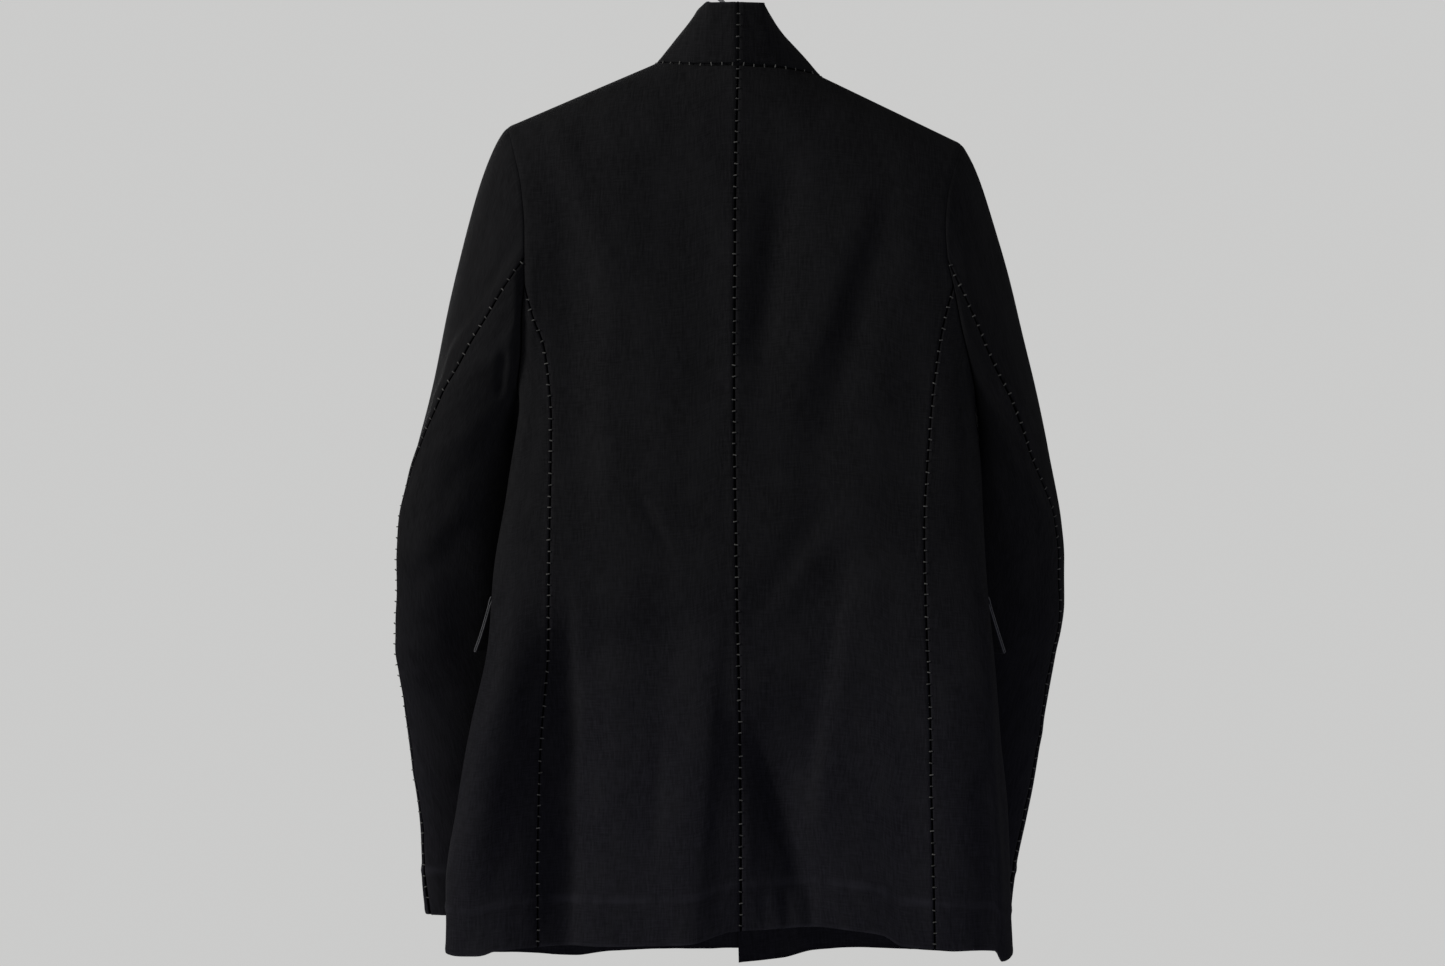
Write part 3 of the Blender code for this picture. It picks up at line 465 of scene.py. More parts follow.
def mix(start, stop, share):
    return start + (stop - start) * share


def swell(distance, width):
    """A soft rise of height 1, by the distance from its middle."""
    return np.exp(-(distance / width) ** 2)


def crossed(grid):
    """Directions square to a grid of points."""
    return np.cross(np.gradient(grid, axis=0), np.gradient(grid, axis=1))


width_at = {LEFT: through(TORSO, 1), RIGHT: through(TORSO, 2)}
side_y_at = through(TORSO, 3)
back_depth_at = through(TORSO, 4)
back_power_at = through(TORSO, 5)
front_depth_at = through(TORSO, 6)
front_power_at = through(TORSO, 7)
centre_back = through(CENTRE_BACK)
centre_front = through(CENTRE_FRONT)
side_back = both_sides(SIDE_BACK)
side_front = both_sides(SIDE_FRONT)
armhole_back = both_sides(ARMHOLE_BACK)
armhole_front = both_sides(ARMHOLE_FRONT)
hem_back = through(HEM_BACK)
hem_front = both_sides(HEM_FRONT)
forearm_turn = through(FOREARM_TURN)
elbow_inset = both_sides(ELBOW_INSET)
lapel_edge = through(LAPEL_EDGE)


def ridge(out, side):
    """Height of the shoulder line, at a distance out from the middle."""
    return TIP_HEIGHT[side] + SHOULDER_RISE[side] * (TIP_OUT[side] - out)


def crown(out, side):
    """Height from which the body rounds over: the shoulder line, levelled inside the neck."""
    level = (ridge(np.abs(out), LEFT) + ridge(np.abs(out), RIGHT)) / 2
    return mix(level, ridge(out, side), smooth_step(*CROWN_LEVEL, np.abs(out)))


def stroke(across, down, start, stop, before, after):
    """A long bump of height 1 with soft ends, by its place on either side of the line it follows."""
    along = np.subtract(stop, start).astype(float)
    length = np.linalg.norm(along)
    along = along / length
    run = ((across - start[0]) * along[0] + (down - start[1]) * along[1]) / length
    off = (across - start[0]) * along[1] - (down - start[1]) * along[0]
    ends = smooth_step(*DRAPE_FADE, run) * smooth_step(*DRAPE_FADE, 1 - run)
    return ends * swell(off, np.where(off < 0, before, after))


def drape(x, height, strokes):
    depth = np.zeros_like(x)
    for x0, h0, x1, h1, half, bump in strokes:
        depth = depth + bump * stroke(x, height, (x0, h0), (x1, h1), half, half)
    return depth


def torso(angle, height, side):
    """Outer surface of the body. The angle is 0 at the centre back and pi at the centre front."""
    sine, cosine = np.sin(angle), np.cos(angle)
    back = cosine >= 0
    power = np.where(back, back_power_at(height), front_power_at(height))
    depth = np.where(back, back_depth_at(height), front_depth_at(height))
    out = width_at[side](height) * np.sign(sine) * np.abs(sine) ** (2 / power)
    y = side_y_at(height) + depth * np.sign(cosine) * np.abs(cosine) ** (2 / power)
    x = side * out
    fold = np.where(back, drape(x, height, DRAPES_BACK), drape(x, height, DRAPES_FRONT))
    fold = fold * np.sqrt(np.abs(cosine))
    drop = np.clip((crown(out, side) - height) / CROWN_DEPTH, 0, 1)
    flat = (1 - (1 - drop) ** CROWN_POWER) ** (1 / CROWN_POWER)
    x = x + fold * flat * side * sine
    return np.stack((x, (y + fold * cosine) * flat, height + 0 * x), axis=-1)


def torso_normal(angle, height, side):
    """Outward direction of the body's surface."""
    turn, rise = 0.012, 1.5
    along = torso(angle + turn, height, side) - torso(angle - turn, height, side)
    up = torso(angle, height + rise, side) - torso(angle, height - rise, side)
    return unit(np.cross(up, along)) * side


def fold_depth(points, normals, back_strokes, front_strokes):
    """Depth of the fine folds, on the face turned to the photo's camera and on the one turned away."""
    near = CAMERA[1] / (CAMERA[1] - points[..., 1])
    across = PHOTO_MIDDLE - mix(CAMERA[0], points[..., 0], near) / PIXEL
    down = PHOTO_SEAM - mix(CAMERA[2], points[..., 2], near) / PIXEL
    depth = np.zeros_like(across)
    for way, strokes in ((1, back_strokes), (-1, front_strokes)):
        facing = smooth_step(*FACING, way * normals[..., 1])
        for x0, y0, x1, y1, before, after, bump in strokes:
            depth += facing * bump * stroke(across, down, (x0, y0), (x1, y1), before, after)
    for wave_across, wave_down, phase, bump in UNEVEN:
        depth += bump * np.sin(2 * math.pi * (across / wave_across + down / wave_down) + phase)
    return depth


def body(angles, heights, side):
    """The body's points with their fine folds, and its outward directions."""
    points, normals = torso(angles, heights, side), torso_normal(angles, heights, side)
    depth = fold_depth(points, normals, BACK_FOLDS, FRONT_FOLDS)
    # The folds fade towards the shoulder line, where back and front meet
    depth = depth * smooth_step(0, RIDGE_FADE, crown(side * points[..., 0], side) - heights)
    return points + normals * depth[..., None], normals


def back_angle(out, height, side):
    share = out / width_at[side](height)
    return np.sign(share) * np.arcsin(np.clip(np.abs(share), 0, 1) ** (back_power_at(height) / 2))


def front_angle(out, height, side):
    share = out / width_at[side](height)
    turn = np.arcsin(np.clip(np.abs(share), 0, 1) ** (front_power_at(height) / 2))
    return math.pi - np.sign(share) * turn


def column_heights(low, high):
    """Heights up a column: even steps to the armhole's corner, then closer towards the top."""
    lower = mix(low, ARMHOLE_CORNER, np.linspace(0, 1, ROWS_LOW + 1))
    rise = 1 - (1 - np.linspace(0, 1, ROWS_HIGH + 1)[1:]) ** ROW_CLOSING
    return np.concatenate((lower, mix(ARMHOLE_CORNER, high, rise)))


def reach_top(outs, column, top_out):
    """A column's distances out, eased above the armhole's corner so that its top lands in place."""
    rise = np.clip((column - ARMHOLE_CORNER) / (column[-1] - ARMHOLE_CORNER), 0, 1)
    return outs + (top_out - outs[-1]) * rise ** 2


def top_edge(side, neck, neckline):
    """A panel's top along the neckline and the shoulder: distances out, heights and shares of the way."""
    shoulder = np.linspace(NECK_OUT[side], TIP_OUT[side], SHOULDER_STEPS + 1)
    outs = np.concatenate((neck, shoulder))
    tops = np.concatenate((neckline, ridge(shoulder, side)))
    return outs, tops, (outs - outs[0]) / (outs[-1] - outs[0])


def ridge_normal(side):
    return unit(np.array((side * SHOULDER_RISE[side], 0.0, 1.0)))


def surface_normals(grid, side, before=None, after=None):
    """Outward directions of a surface; a column given past either edge is counted in there."""
    wide = [grid]
    if before is not None:
        wide.insert(0, before[:, None])
    if after is not None:
        wide.append(after[:, None])
    wide = np.concatenate(wide, axis=1)
    normals = unit(crossed(wide)) * side
    start = 0 if before is None else 1
    return normals[:, start:start + grid.shape[1]]


def back_panel(side):
    """Half of the back, as points and outward directions: hem first, centre seam first."""
    neck = np.linspace(0, NECK_OUT[side], NECK_STEPS + 1)[:-1]
    neck[0] = side * centre_back(NECK_CENTRE)
    neck_rise = (np.clip(neck, 0, None) / NECK_OUT[side]) ** NECKLINE_POWER
    neckline = mix(NECK_CENTRE, ridge(NECK_OUT[side], side), neck_rise)
    top_outs, tops, shares = top_edge(side, neck, neckline)
    heights, outs = [], []
    for share, top_out, top in zip(shares, top_outs, tops):
        hem_out = mix(side * centre_back(HEM_LEVEL), side_back[side](HEM_LEVEL), share)
        column = column_heights(hem_back(side * hem_out), top)
        below = column <= ARMHOLE_CORNER
        edge = np.where(below, side_back[side](column), armhole_back[side](column))
        across = mix(side * centre_back(column), edge, share)
        heights.append(column)
        outs.append(reach_top(across, column, top_out))
    heights, outs = np.array(heights).T, np.array(outs).T
    points, normals = body(back_angle(outs, heights, side), heights, side)
    normals[-1, NECK_STEPS:] = ridge_normal(side)
    return points, normals


def roll_line(height, side):
    """Distance out of the front's edge: the roll line above the break, the overlap below it."""
    edge = side * centre_front(height) - OVERLAP
    turn = side * centre_front(BREAK_HEIGHT) - OVERLAP
    share = np.clip((height - BREAK_HEIGHT) / (ROLL_TOP_HEIGHT - BREAK_HEIGHT), 0, 1)
    return np.where(height < BREAK_HEIGHT, edge, mix(turn, ROLL_TOP_OUT, share))


def front_surface(outs, heights, side):
    """Points and outward directions over a front, the left one lifted where it lies over the right."""
    points, normals = body(front_angle(outs, heights, side), heights, side)
    if side == LEFT:
        off = np.abs(points[..., 0] - centre_front(heights))
        lift = OVERLAP_LIFT * (1 - smooth_step(*OVERLAP_FADE, off))
        points = points + normals * lift[..., None]
    return points, normals


def front_panel(side):
    """A front, as points and outward directions: hem first, front edge first."""
    neck_rise = np.linspace(0, 1, FRONT_NECK_STEPS + 1)[:-1]
    neck = mix(ROLL_TOP_OUT, NECK_OUT[side], neck_rise)
    neckline = mix(ROLL_TOP_HEIGHT, ridge(NECK_OUT[side], side), neck_rise)
    top_outs, tops, shares = top_edge(side, neck, neckline)
    heights, outs = [], []
    evens = np.linspace(0, 1, len(shares))
    for share, even, top_out, top in zip(shares, evens, top_outs, tops):
        hem_out = mix(roll_line(HEM_LEVEL, side), side_front[side](HEM_LEVEL), even)
        column = column_heights(hem_front[side](hem_out), top)
        below = column <= ARMHOLE_CORNER
        edge = np.where(below, side_front[side](column), armhole_front[side](column))
        # Columns stand evenly apart below the chest and meet the neck and shoulder at the top
        place = mix(even, share, smooth_step(BREAK_HEIGHT, ROLL_TOP_HEIGHT, column))
        heights.append(column)
        outs.append(reach_top(mix(roll_line(column, side), edge, place), column, top_out))
    heights, outs = np.array(heights).T, np.array(outs).T
    points, normals = front_surface(outs, heights, side)
    normals[-1, FRONT_NECK_STEPS:] = ridge_normal(side)
    return points, normals


def side_angle(share, height, side):
    start = back_angle(side_back[side](height), height, side)
    stop = front_angle(side_front[side](height), height, side)
    return mix(start, stop, share)


def out_at(angle, height, side):
    """Distance out of the body's surface, at an angle round it."""
    power = back_power_at(height) if angle < math.pi / 2 else front_power_at(height)
    return width_at[side](height) * np.sin(angle) ** (2 / power)


def side_panel(side):
    """A side panel, as points and outward directions: hem first, back seam first."""
    heights, angles = [], []
    for share in np.linspace(0, 1, SIDE_STEPS + 1):
        turn = side_angle(share, HEM_LEVEL, side)
        hem_out = out_at(turn, HEM_LEVEL, side)
        hem = hem_back(side * hem_out) if turn < math.pi / 2 else hem_front[side](hem_out)
        top = mix(ARMPIT[side], ARMHOLE_CORNER, abs(2 * share - 1) ** UNDERARM_POWER)
        column = mix(hem, top, np.linspace(0, 1, ROWS_LOW + 1))
        heights.append(column)
        angles.append(side_angle(share, column, side))
    return body(np.array(angles).T, np.array(heights).T, side)


def armhole_loop(back, front, middle):
    """The armhole's points, or directions: down the back from the tip, under, up the front."""
    down = back[ROWS_LOW:, -1][::-1]
    under = middle[-1, 1:-1]
    up = front[ROWS_LOW:, -1]
    return np.concatenate((down, under, up))


def sleeve_ring(angles, height, side):
    """A sleeve below the armpit. The angle is 0 outermost, then back, inner and front."""
    outer, width, middle, depth, turn = (through(SLEEVE[side], k)(height) for k in range(1, 6))
    turn = math.radians(turn)
    half = math.sqrt((width / 2) ** 2 - (depth * math.sin(turn)) ** 2) / math.cos(turn)
    sine, cosine = np.sin(angles), np.cos(angles)
    major = half * np.sign(cosine) * np.abs(cosine) ** (2 / SLEEVE_POWER)
    minor = depth * np.sign(sine) * np.abs(sine) ** (2 / SLEEVE_POWER)
    out = outer - width / 2 + major * math.cos(turn) - minor * math.sin(turn)
    y = middle + major * math.sin(turn) + minor * math.cos(turn)
    return np.stack((side * out, y, np.full_like(out, height)), axis=-1)


def elbow_angle(height, side):
    """Angle of the elbow seam round the sleeve, from its distance in from the outer edge."""
    half = through(SLEEVE[side], 2)(height) / 2
    turn = math.radians(through(SLEEVE[side], 5)(height))
    return math.acos(1 - elbow_inset[side](height) / half) - turn / 2


def sleeve_piece(side, points, first_angle, last_angle):
    """A sleeve's piece hung from its stretch of the armhole, between two angles on the rings."""
    share = np.linspace(0, 1, len(points))
    top = SLEEVE[side][0][0]

    def ring(height):
        return sleeve_ring(mix(first_angle(height), last_angle(height), share), height, side)

    arm = ring(top)
    run = np.linalg.norm(arm - points, axis=1, keepdims=True)
    rise = (points[:, 2] - ARMPIT[side]) / (TIP_HEIGHT[side] - ARMPIT[side])
    spread = mix(*CAP_SPREAD[side], np.clip(rise, 0, 1) ** CAP_RISE)
    leave = unit(np.stack((side * spread, 0 * spread, -1 + 0 * spread), axis=-1)) * run * CAP_SWING
    reach = unit(ring(top - 2.0) - arm) * run * CAP_SETTLE[side]
    rows = []
    for w in np.linspace(0, 1, CAP_ROWS + 1)[:-1] ** CAP_CLOSING:
        start = (1 + 2 * w) * (1 - w) ** 2 * points + w * (1 - w) ** 2 * leave
        rows.append(start + w * w * (3 - 2 * w) * arm + w * w * (w - 1) * reach)
    rows += [ring(height) for height in np.linspace(top, CUFF_HEIGHT[side], ARM_ROWS + 1)]
    return np.array(rows)


def sleeves(side, loop):
    """The upper and the under sleeve with their folds; they meet at the elbow and forearm seams."""
    def elbow(height):
        return elbow_angle(height, side)

    def forearm(height):
        return math.radians(forearm_turn(height))

    def forearm_before(height):
        return forearm(height) - 2 * math.pi

    over = np.r_[FOREARM_INDEX:len(loop), 1:ELBOW_INDEX + 1]
    under = np.r_[ELBOW_INDEX:FOREARM_INDEX + 1]
    upper = sleeve_piece(side, loop[over], forearm_before, elbow)
    lower = sleeve_piece(side, loop[under], elbow, forearm)
    made = []
    for grid, other in ((upper, lower), (lower, upper)):
        normals = surface_normals(grid, side, other[:, -2], other[:, 1])
        depth = fold_depth(grid, normals, SLEEVE_FOLDS, SLEEVE_FRONT_FOLDS)
        depth = depth * smooth_step(0, CAP_FADE, run_along(grid))
        made.append((grid + normals * depth[..., None], normals))
    return made


def collar_edge(back, front):
    """The neckline on one side: the back's top edge, then the front's down to its roll line."""
    return np.concatenate((back[-1, :NECK_STEPS + 1], front[-1, :FRONT_NECK_STEPS][::-1]))


def collar_side(side, edge):
    """One side of the turned-up collar's outer face: neckline first, centre back first."""
    lengths = np.concatenate(((0,), np.cumsum(np.linalg.norm(np.diff(edge, axis=0), axis=1))))
    share = lengths / lengths[-1]
    leaf = np.stack([through(COLLAR_LEAF[side], k)(share) for k in (1, 2, 3)], axis=-1)
    leaf[:, 0] *= side
    along = np.gradient(edge, axis=0)
    outward = unit(np.cross(leaf, along)) * side
    rise = np.linspace(0, 1, COLLAR_ROWS + 1)[:, None, None]
    return edge + leaf * rise + outward * COLLAR_BOW * 4 * rise * (1 - rise)


def lapel(side):
    """A lapel on its front, as points and outward directions: its lower end first."""
    knots = np.array([row[0] for row in LAPEL_EDGE], float)
    if side == RIGHT:
        knots = np.concatenate(((RIGHT_LAPEL_END,), knots[knots > RIGHT_LAPEL_END]))
    places = np.linspace(0, len(knots) - 1, round((len(knots) - 1) / LAPEL_STEP) + 1)
    knots = np.interp(places, np.arange(len(knots)), knots)
    heights = np.repeat(knots[:, None], LAPEL_COLUMNS + 1, axis=1)
    inner = roll_line(knots, side) - LAPEL_LAP
    outer = roll_line(knots, side) + lapel_edge(knots)
    if side == RIGHT:
        inner = np.maximum(inner, LAPEL_CLEAR - roll_line(knots, LEFT))
    share = np.linspace(0, 1, LAPEL_COLUMNS + 1)
    outs = mix(inner[:, None], outer[:, None], share)
    points, normals = front_surface(outs, heights, side)
    lift = LAPEL_STAND + LAPEL + LAPEL_ROLL * (1 - share) ** 2
    return points + normals * lift[:, None], normals


# Final meshes

def placed(points):
    """Garment millimetres to metres below the hook."""
    return (np.asarray(points) + (0.0, 0.0, -NECK_DROP)) * MM


def run_along(grid):
    """Distance of each point from its column's first point, along the cloth."""
    steps = np.linalg.norm(np.diff(grid[..., :3], axis=0), axis=-1)
    return np.concatenate((np.zeros((1, grid.shape[1])), np.cumsum(steps, axis=0)))


def smooth_sample(grid, places):
    """Values on smooth curves down each column of a grid, at fractional row numbers of their own."""
    last = grid.shape[0] - 1
    start = np.clip(np.floor(places).astype(int), 0, last - 1)
    t = (places - start)[..., None]
    columns = np.arange(grid.shape[1])[None]
    before, here, there, after = (grid[np.clip(start + k, 0, last), columns] for k in (-1, 0, 1, 2))
    return 0.5 * (2 * here + (there - before) * t + (2 * before - 5 * here + 4 * there - after) * t ** 2
                  + (3 * here - before - 3 * there + after) * t ** 3)


def setback(kind):
    """How far an edge of that kind is drawn in from the seam line."""
    return mix(SEAM / 2, LACED_GAP / 2, np.clip(kind, 0, 1))


def respaced(grid, low, high, step=LINE_STEP):
    """New rows for a grid: close lines beside its first and last edge, even steps between."""
    run = run_along(grid)
    total = run[-1]
    count = max(2, round(float(np.median(total) / step)))
    deepest = EDGE_LINES[-1] + setback(LACED)
    squeeze = np.minimum(1, EDGE_SHARE * total / deepest)
    low, high = setback(low) * squeeze, setback(high) * squeeze
    close = EDGE_LINES[:, None] * squeeze
    inner = mix(low + close[-1], total - high - close[-1], np.linspace(0, 1, count + 1)[1:-1, None])
    wanted = np.concatenate((low + close, inner, (total - high - close)[::-1]))
    rows = np.arange(len(grid))
    places = [np.interp(wanted[:, k], run[:, k], rows) for k in range(grid.shape[1])]
    return smooth_sample(grid, np.array(places).T)


def edge_relief(distance, laced, free):
    """Height of the cloth beside an edge: a ridge along lacing, a ditch at a plain seam, a soft roll."""
    relief = 0.0
    for share, kind in ((laced, LACED), (free, FREE), (1 - laced - free, PLAIN)):
        rise, place, width, drop, fade = EDGE_FORMS[kind]
        relief = relief + share * (rise * swell(distance - place, width) - drop * np.exp(-distance / fade))
    return relief


def band_relief(distance, depth, run):
    """A turned-up allowance: its mark outside, and small creases within it."""
    inside = 1 - smooth_step(depth - 3, depth + 1, distance)
    close, wide, up, slant = BAND_WAVES
    creases = np.sin(run / close) * np.sin(run / wide + 1.1) * np.sin(distance / up + run / slant)
    height, width = BAND_MARK
    return inside * (BAND_LIFT + BAND_CREASE * creases) + height * swell(distance - depth, width)


def cloth_form(gaps, kinds, thickness, band):
    """The cloth's relief, thickness and wear, by its distances from its four edges."""
    relief, wall, wear = 0.0, thickness, 0.0
    for place, gap in enumerate(gaps):
        laced, free = np.clip(kinds[..., place], 0, 1), np.clip(-kinds[..., place], 0, 1)
        relief = relief + edge_relief(gap, laced, free)
        # A laced edge is turned under, two layers thick
        wall = wall + thickness * laced * (1 - smooth_step(*TURNED_UNDER, gap))
        wear = wear + free * swell(gap, EDGE_WEAR)
    if band:
        from_hem, depth = gaps[band[0]], band[1]
        relief = relief + band_relief(from_hem, depth, gaps[0])
        wall = wall + BAND_WALL * (1 - smooth_step(depth - 1, depth + 1, from_hem))
        wear = wear + swell(from_hem - depth, BAND_WEAR)
    return relief, wall, wear


def border(grid):
    """The grid's outline, once round."""
    return np.concatenate((grid[0, :-1], grid[:-1, -1], grid[-1, :0:-1], grid[:0:-1, 0]))


def shell(name, grid, normals, material, edges, thickness=CLOTH, band=None, step=LINE_STEP,
          rim_material=None):
    """A closed shell of cloth on a grid of outer points. The edges are the first and the last
    column and the first and the last row: a kind each, or a kind for each point along it. The
    band is a turned-up allowance: its edge's number among them, and its depth. A rim with no
    material of its own gets painted shade where it lies in a seam."""
    rows, columns = grid.shape[:2]
    kinds = [np.broadcast_to(np.reshape(kind, (-1, 1) if place < 2 else (1, -1)), (rows, columns))
             for place, kind in enumerate(edges)]
    outward = np.sign(np.sum(crossed(grid) * normals))
    data = np.concatenate((grid, np.stack(kinds, axis=-1)), axis=-1)
    data = respaced(data.swapaxes(0, 1), data[:, 0, 3], data[:, -1, 4], step).swapaxes(0, 1)
    data = respaced(data, data[0, :, 5], data[-1, :, 6], step)
    points, kinds = data[..., :3], data[..., 3:]
    across, along = run_along(points.swapaxes(0, 1)).T, run_along(points)
    gaps = (across, across[:, -1:] - across, along, along[-1] - along)
    relief, wall, wear = cloth_form(gaps, kinds, thickness, band)
    outs = unit(crossed(points)) * outward
    outer = points + outs * relief[..., None]
    inner = outer - outs * wall[..., None]
    push = np.zeros_like(points)
    for edge, rest in ((0, 1), (-1, -2)):
        push[:, edge] += unit(points[:, edge] - points[:, rest])
        push[edge] += unit(points[edge] - points[rest])
    rim_kinds = np.zeros(relief.shape)
    rim_kinds[0], rim_kinds[-1] = kinds[0, :, 2], kinds[-1, :, 3]
    rim_kinds[:, 0], rim_kinds[:, -1] = kinds[:, 0, 0], kinds[:, -1, 1]
    rim_kinds = border(rim_kinds)
    laced = np.clip(rim_kinds, 0, 1)[:, None]
    top, down, away = border(outer), border(inner) - border(outer), unit(border(push))
    rings = [top + down * mix(plain_down, laced_down, laced) + away * mix(plain_out, laced_out, laced)
             for plain_down, plain_out, laced_down, laced_out in RIM]
    index = np.arange(relief.size).reshape(relief.shape)
    quads = np.stack((index[:-1, :-1], index[:-1, 1:], index[1:, 1:], index[1:, :-1]), axis=-1)
    quads = quads.reshape(-1, 4)
    rim = border(index)
    lines = [rim, *(np.arange(len(rim)) + 2 * index.size + k * len(rim) for k in range(len(rings))),
             rim + index.size]
    strips = [np.stack((np.roll(low, -1), low, high, np.roll(high, -1)), axis=-1)
              for low, high in zip(lines, lines[1:])]
    faces = np.concatenate([quads, quads[:, ::-1] + index.size, *strips])
    uv = np.stack((across, along), axis=-1) * MM
    item = mesh_piece(name, placed(np.concatenate((outer.reshape(-1, 3), inner.reshape(-1, 3), *rings))),
                      faces if outward < 0 else faces[:, ::-1], material,
                      np.concatenate((*[uv.reshape(-1, 2)] * 2, *[border(uv)] * len(rings))))
    # Rim faces that lie in a seam get painted shade, a far darker cloth; a flap's rims all take their own
    # material instead
    sewn = (rim_kinds > FREE / 2) & (np.roll(rim_kinds, -1) > FREE / 2)
    dark = [sewn & (0 < place < len(strips) - 1) | bool(rim_material) for place in range(len(strips))]
    item.data.materials.append(rim_material or painted_seam_shade)
    item.data.polygons.foreach_set("material_index", np.concatenate((np.zeros(2 * len(quads), int), *dark)))
    worn = np.concatenate((wear.ravel(), 0 * wear.ravel(), *[border(wear)] * len(rings)))
    item.data.attributes.new("wear", "FLOAT", "POINT").data.foreach_set("value", worn)
    return item


def mesh_piece(name, corners, faces, material, uv=None):
    mesh = bpy.data.meshes.new(name)
    mesh.from_pydata(corners.tolist(), [], faces.tolist() if hasattr(faces, "tolist") else faces)
    mesh.shade_smooth()
    if uv is not None:
        loops = np.zeros(len(mesh.loops), int)
        mesh.loops.foreach_get("vertex_index", loops)
        mesh.uv_layers.new(name="cut").data.foreach_set("uv", uv[loops].ravel())
    item = bpy.data.objects.new(name, mesh)
    bpy.context.scene.collection.objects.link(item)
    mesh.materials.append(material)
    return item


def bars(name, places, radius, material):
    """Threads laid over the cloth, let in at both ends. Each place is a thread's middle, half of
    its length as a vector, and the direction out of the cloth."""
    turns = np.linspace(0, 2 * math.pi, THREAD_SIDES, endpoint=False)[:, None]
    ring = np.arange(THREAD_SIDES)
    rings, faces = [], []
    for middle, way, out in places:
        beside = unit(np.cross(out, way))
        first = len(rings) * THREAD_SIDES + ring
        for share, lift, size in THREAD_SHAPE:
            centre = middle + share * way + lift * out
            around = np.cos(turns) * beside + THREAD_FLATNESS * np.sin(turns) * out
            rings.append(centre + radius * size * around)
        for step in range(len(THREAD_SHAPE) - 1):
            low = first + step * THREAD_SIDES
            high = low + THREAD_SIDES
            faces += np.stack((low, np.roll(low, -1), np.roll(high, -1), high), axis=-1).tolist()
        faces += [first[::-1].tolist(), high.tolist()]
    return mesh_piece(name, placed(np.concatenate(rings)), faces, material)


def swing(number, size, pace, start):
    """A small change from one thread to the next."""
    return size * np.sin(pace * number + start)


def lacing(name, curve, outward):
    """Threads across an open seam, not quite even in spacing, place, slant and length."""
    run = run_along(curve[:, None])[:, 0]
    number = np.arange(int((run[-1] - THREAD_MARGIN) // THREAD_STEP))
    stops = THREAD_STEP * (number + 0.5) + swing(number, *STRAY_ALONG)
    rows = np.arange(len(run))
    data = np.concatenate((curve, outward), axis=1)[:, None]
    spots, ahead = (smooth_sample(data, np.interp(stops + more, run, rows)[:, None])[:, 0]
                    for more in (0, SEAM_LOOK))
    outs = unit(spots[:, 3:])
    over = unit(np.cross(outs, ahead[:, :3] - spots[:, :3]))
    half = (LACED_GAP / 2 + THREAD_REACH) * (1 + swing(number, *LENGTHENED))
    ways = unit(over + np.cross(over, outs) * swing(number, *SLANT)[:, None]) * half[:, None]
    middles = spots[:, :3] + over * swing(number, *STRAY_ACROSS)[:, None]
    return bars(name, zip(middles, ways, outs), THREAD_RADIUS, thread)


def pocket_flap(side, name, material):
    """A flap of two layers joined by a round fold at the bottom."""
    across = np.linspace(0, 1, FLAP_COLUMNS)
    angles = np.radians(mix(*FLAP_TURNS, across))
    layer = (FLAP - FLAP_LAYER) / 2
    drops = np.linspace(0, 1, FLAP_ROWS) ** FLAP_CLOSING
    profile = [(drop, layer) for drop in drops]
    profile += [(1 + math.sin(bend) * layer * FLAP_BULGE / FLAP_DEPTH, layer * math.cos(bend))
                for bend in FLAP_BENDS]
    profile += [(drop, -layer) for drop in drops[::-1]]
    rows, outs = [], []
    for drop, lift in profile:
        points, normals = body(angles, FLAP_TOP - FLAP_DEPTH * drop + 0 * across, side)
        stand = mix(FLAP_STAND_TOP, mix(FLAP_STAND_REAR, FLAP_STAND_FRONT, across), min(drop, 1.0))
        rows.append(points + normals * (stand + FLAP / 2 + lift)[:, None])
        outs.append(normals)
    centre = np.array(rows)
    normals = unit(crossed(centre))
    normals *= np.sign(np.sum(normals[:FLAP_ROWS] * outs[:FLAP_ROWS]))
    # The flap's rims take the pressed edge's painted highlight
    return shell(name, centre + normals * FLAP_LAYER / 2, normals, material, (FREE,) * 4, FLAP_LAYER,
                 step=FLAP_LINES, rim_material=pressed_edge_highlight)


# Materials

class Nodes:
    """A material's node tree, built call by call."""

    def __init__(self, name):
        self.material = bpy.data.materials.new(name)
        self.material.use_nodes = True
        self.tree = self.material.node_tree
        self.shader = self.tree.nodes["Principled BSDF"]

    def add(self, kind, settings=(), **inputs):
        node = self.tree.nodes.new("ShaderNode" + kind)
        for key, value in dict(settings).items():
            setattr(node, key, value)
        for key, value in inputs.items():
            self.feed(node, key.replace("_", " "), value)
        return node

    def feed(self, node, key, value):
        socket = node.inputs[int(key[1:])] if key[0] == "n" and key[1:].isdigit() else node.inputs[key]
        if hasattr(value, "is_output"):
            self.tree.links.new(value, socket)
        else:
            socket.default_value = value

    def math(self, operation, *values):
        node = self.add("Math", {"operation": operation})
        for place, value in enumerate(values):
            self.feed(node, f"n{place}", value)
        return node.outputs[0]

    def spans(self, value, low, high, to_low=0.0, to_high=1.0):
        node = self.add("MapRange", {"interpolation_type": "SMOOTHSTEP"})
        ends = {"From Min": low, "From Max": high, "To Min": to_low, "To Max": to_high}
        for key, number in {"Value": value, **ends}.items():
            self.feed(node, key, number)
        return node.outputs[0]

    def noise(self, vector, scale, detail=2.0, roughness=0.5):
        mapped = self.add("Mapping")
        self.feed(mapped, "Vector", vector)
        self.feed(mapped, "Scale", scale)
        node = self.add("TexNoise", Vector=mapped.outputs[0], Scale=1.0, Detail=detail, Roughness=roughness)
        return node.outputs["Fac"]

    def mixed(self, share, first, second):
        node = self.add("Mix", {"data_type": "RGBA"}, n0=share)
        for place, colour in (("n6", first), ("n7", second)):
            self.feed(node, place, colour if hasattr(colour, "is_output") else (*colour, 1.0))
        return node.outputs[2]

    def bump(self, height, distance, strength=1.0, normal=None):
        node = self.add("Bump", Height=height, Distance=distance, Strength=strength)
        if normal is not None:
            self.feed(node, "Normal", normal)
        return node.outputs[0]

    def set(self, **inputs):
        for key, value in inputs.items():
            self.feed(self.shader, key.replace("_", " "), value)
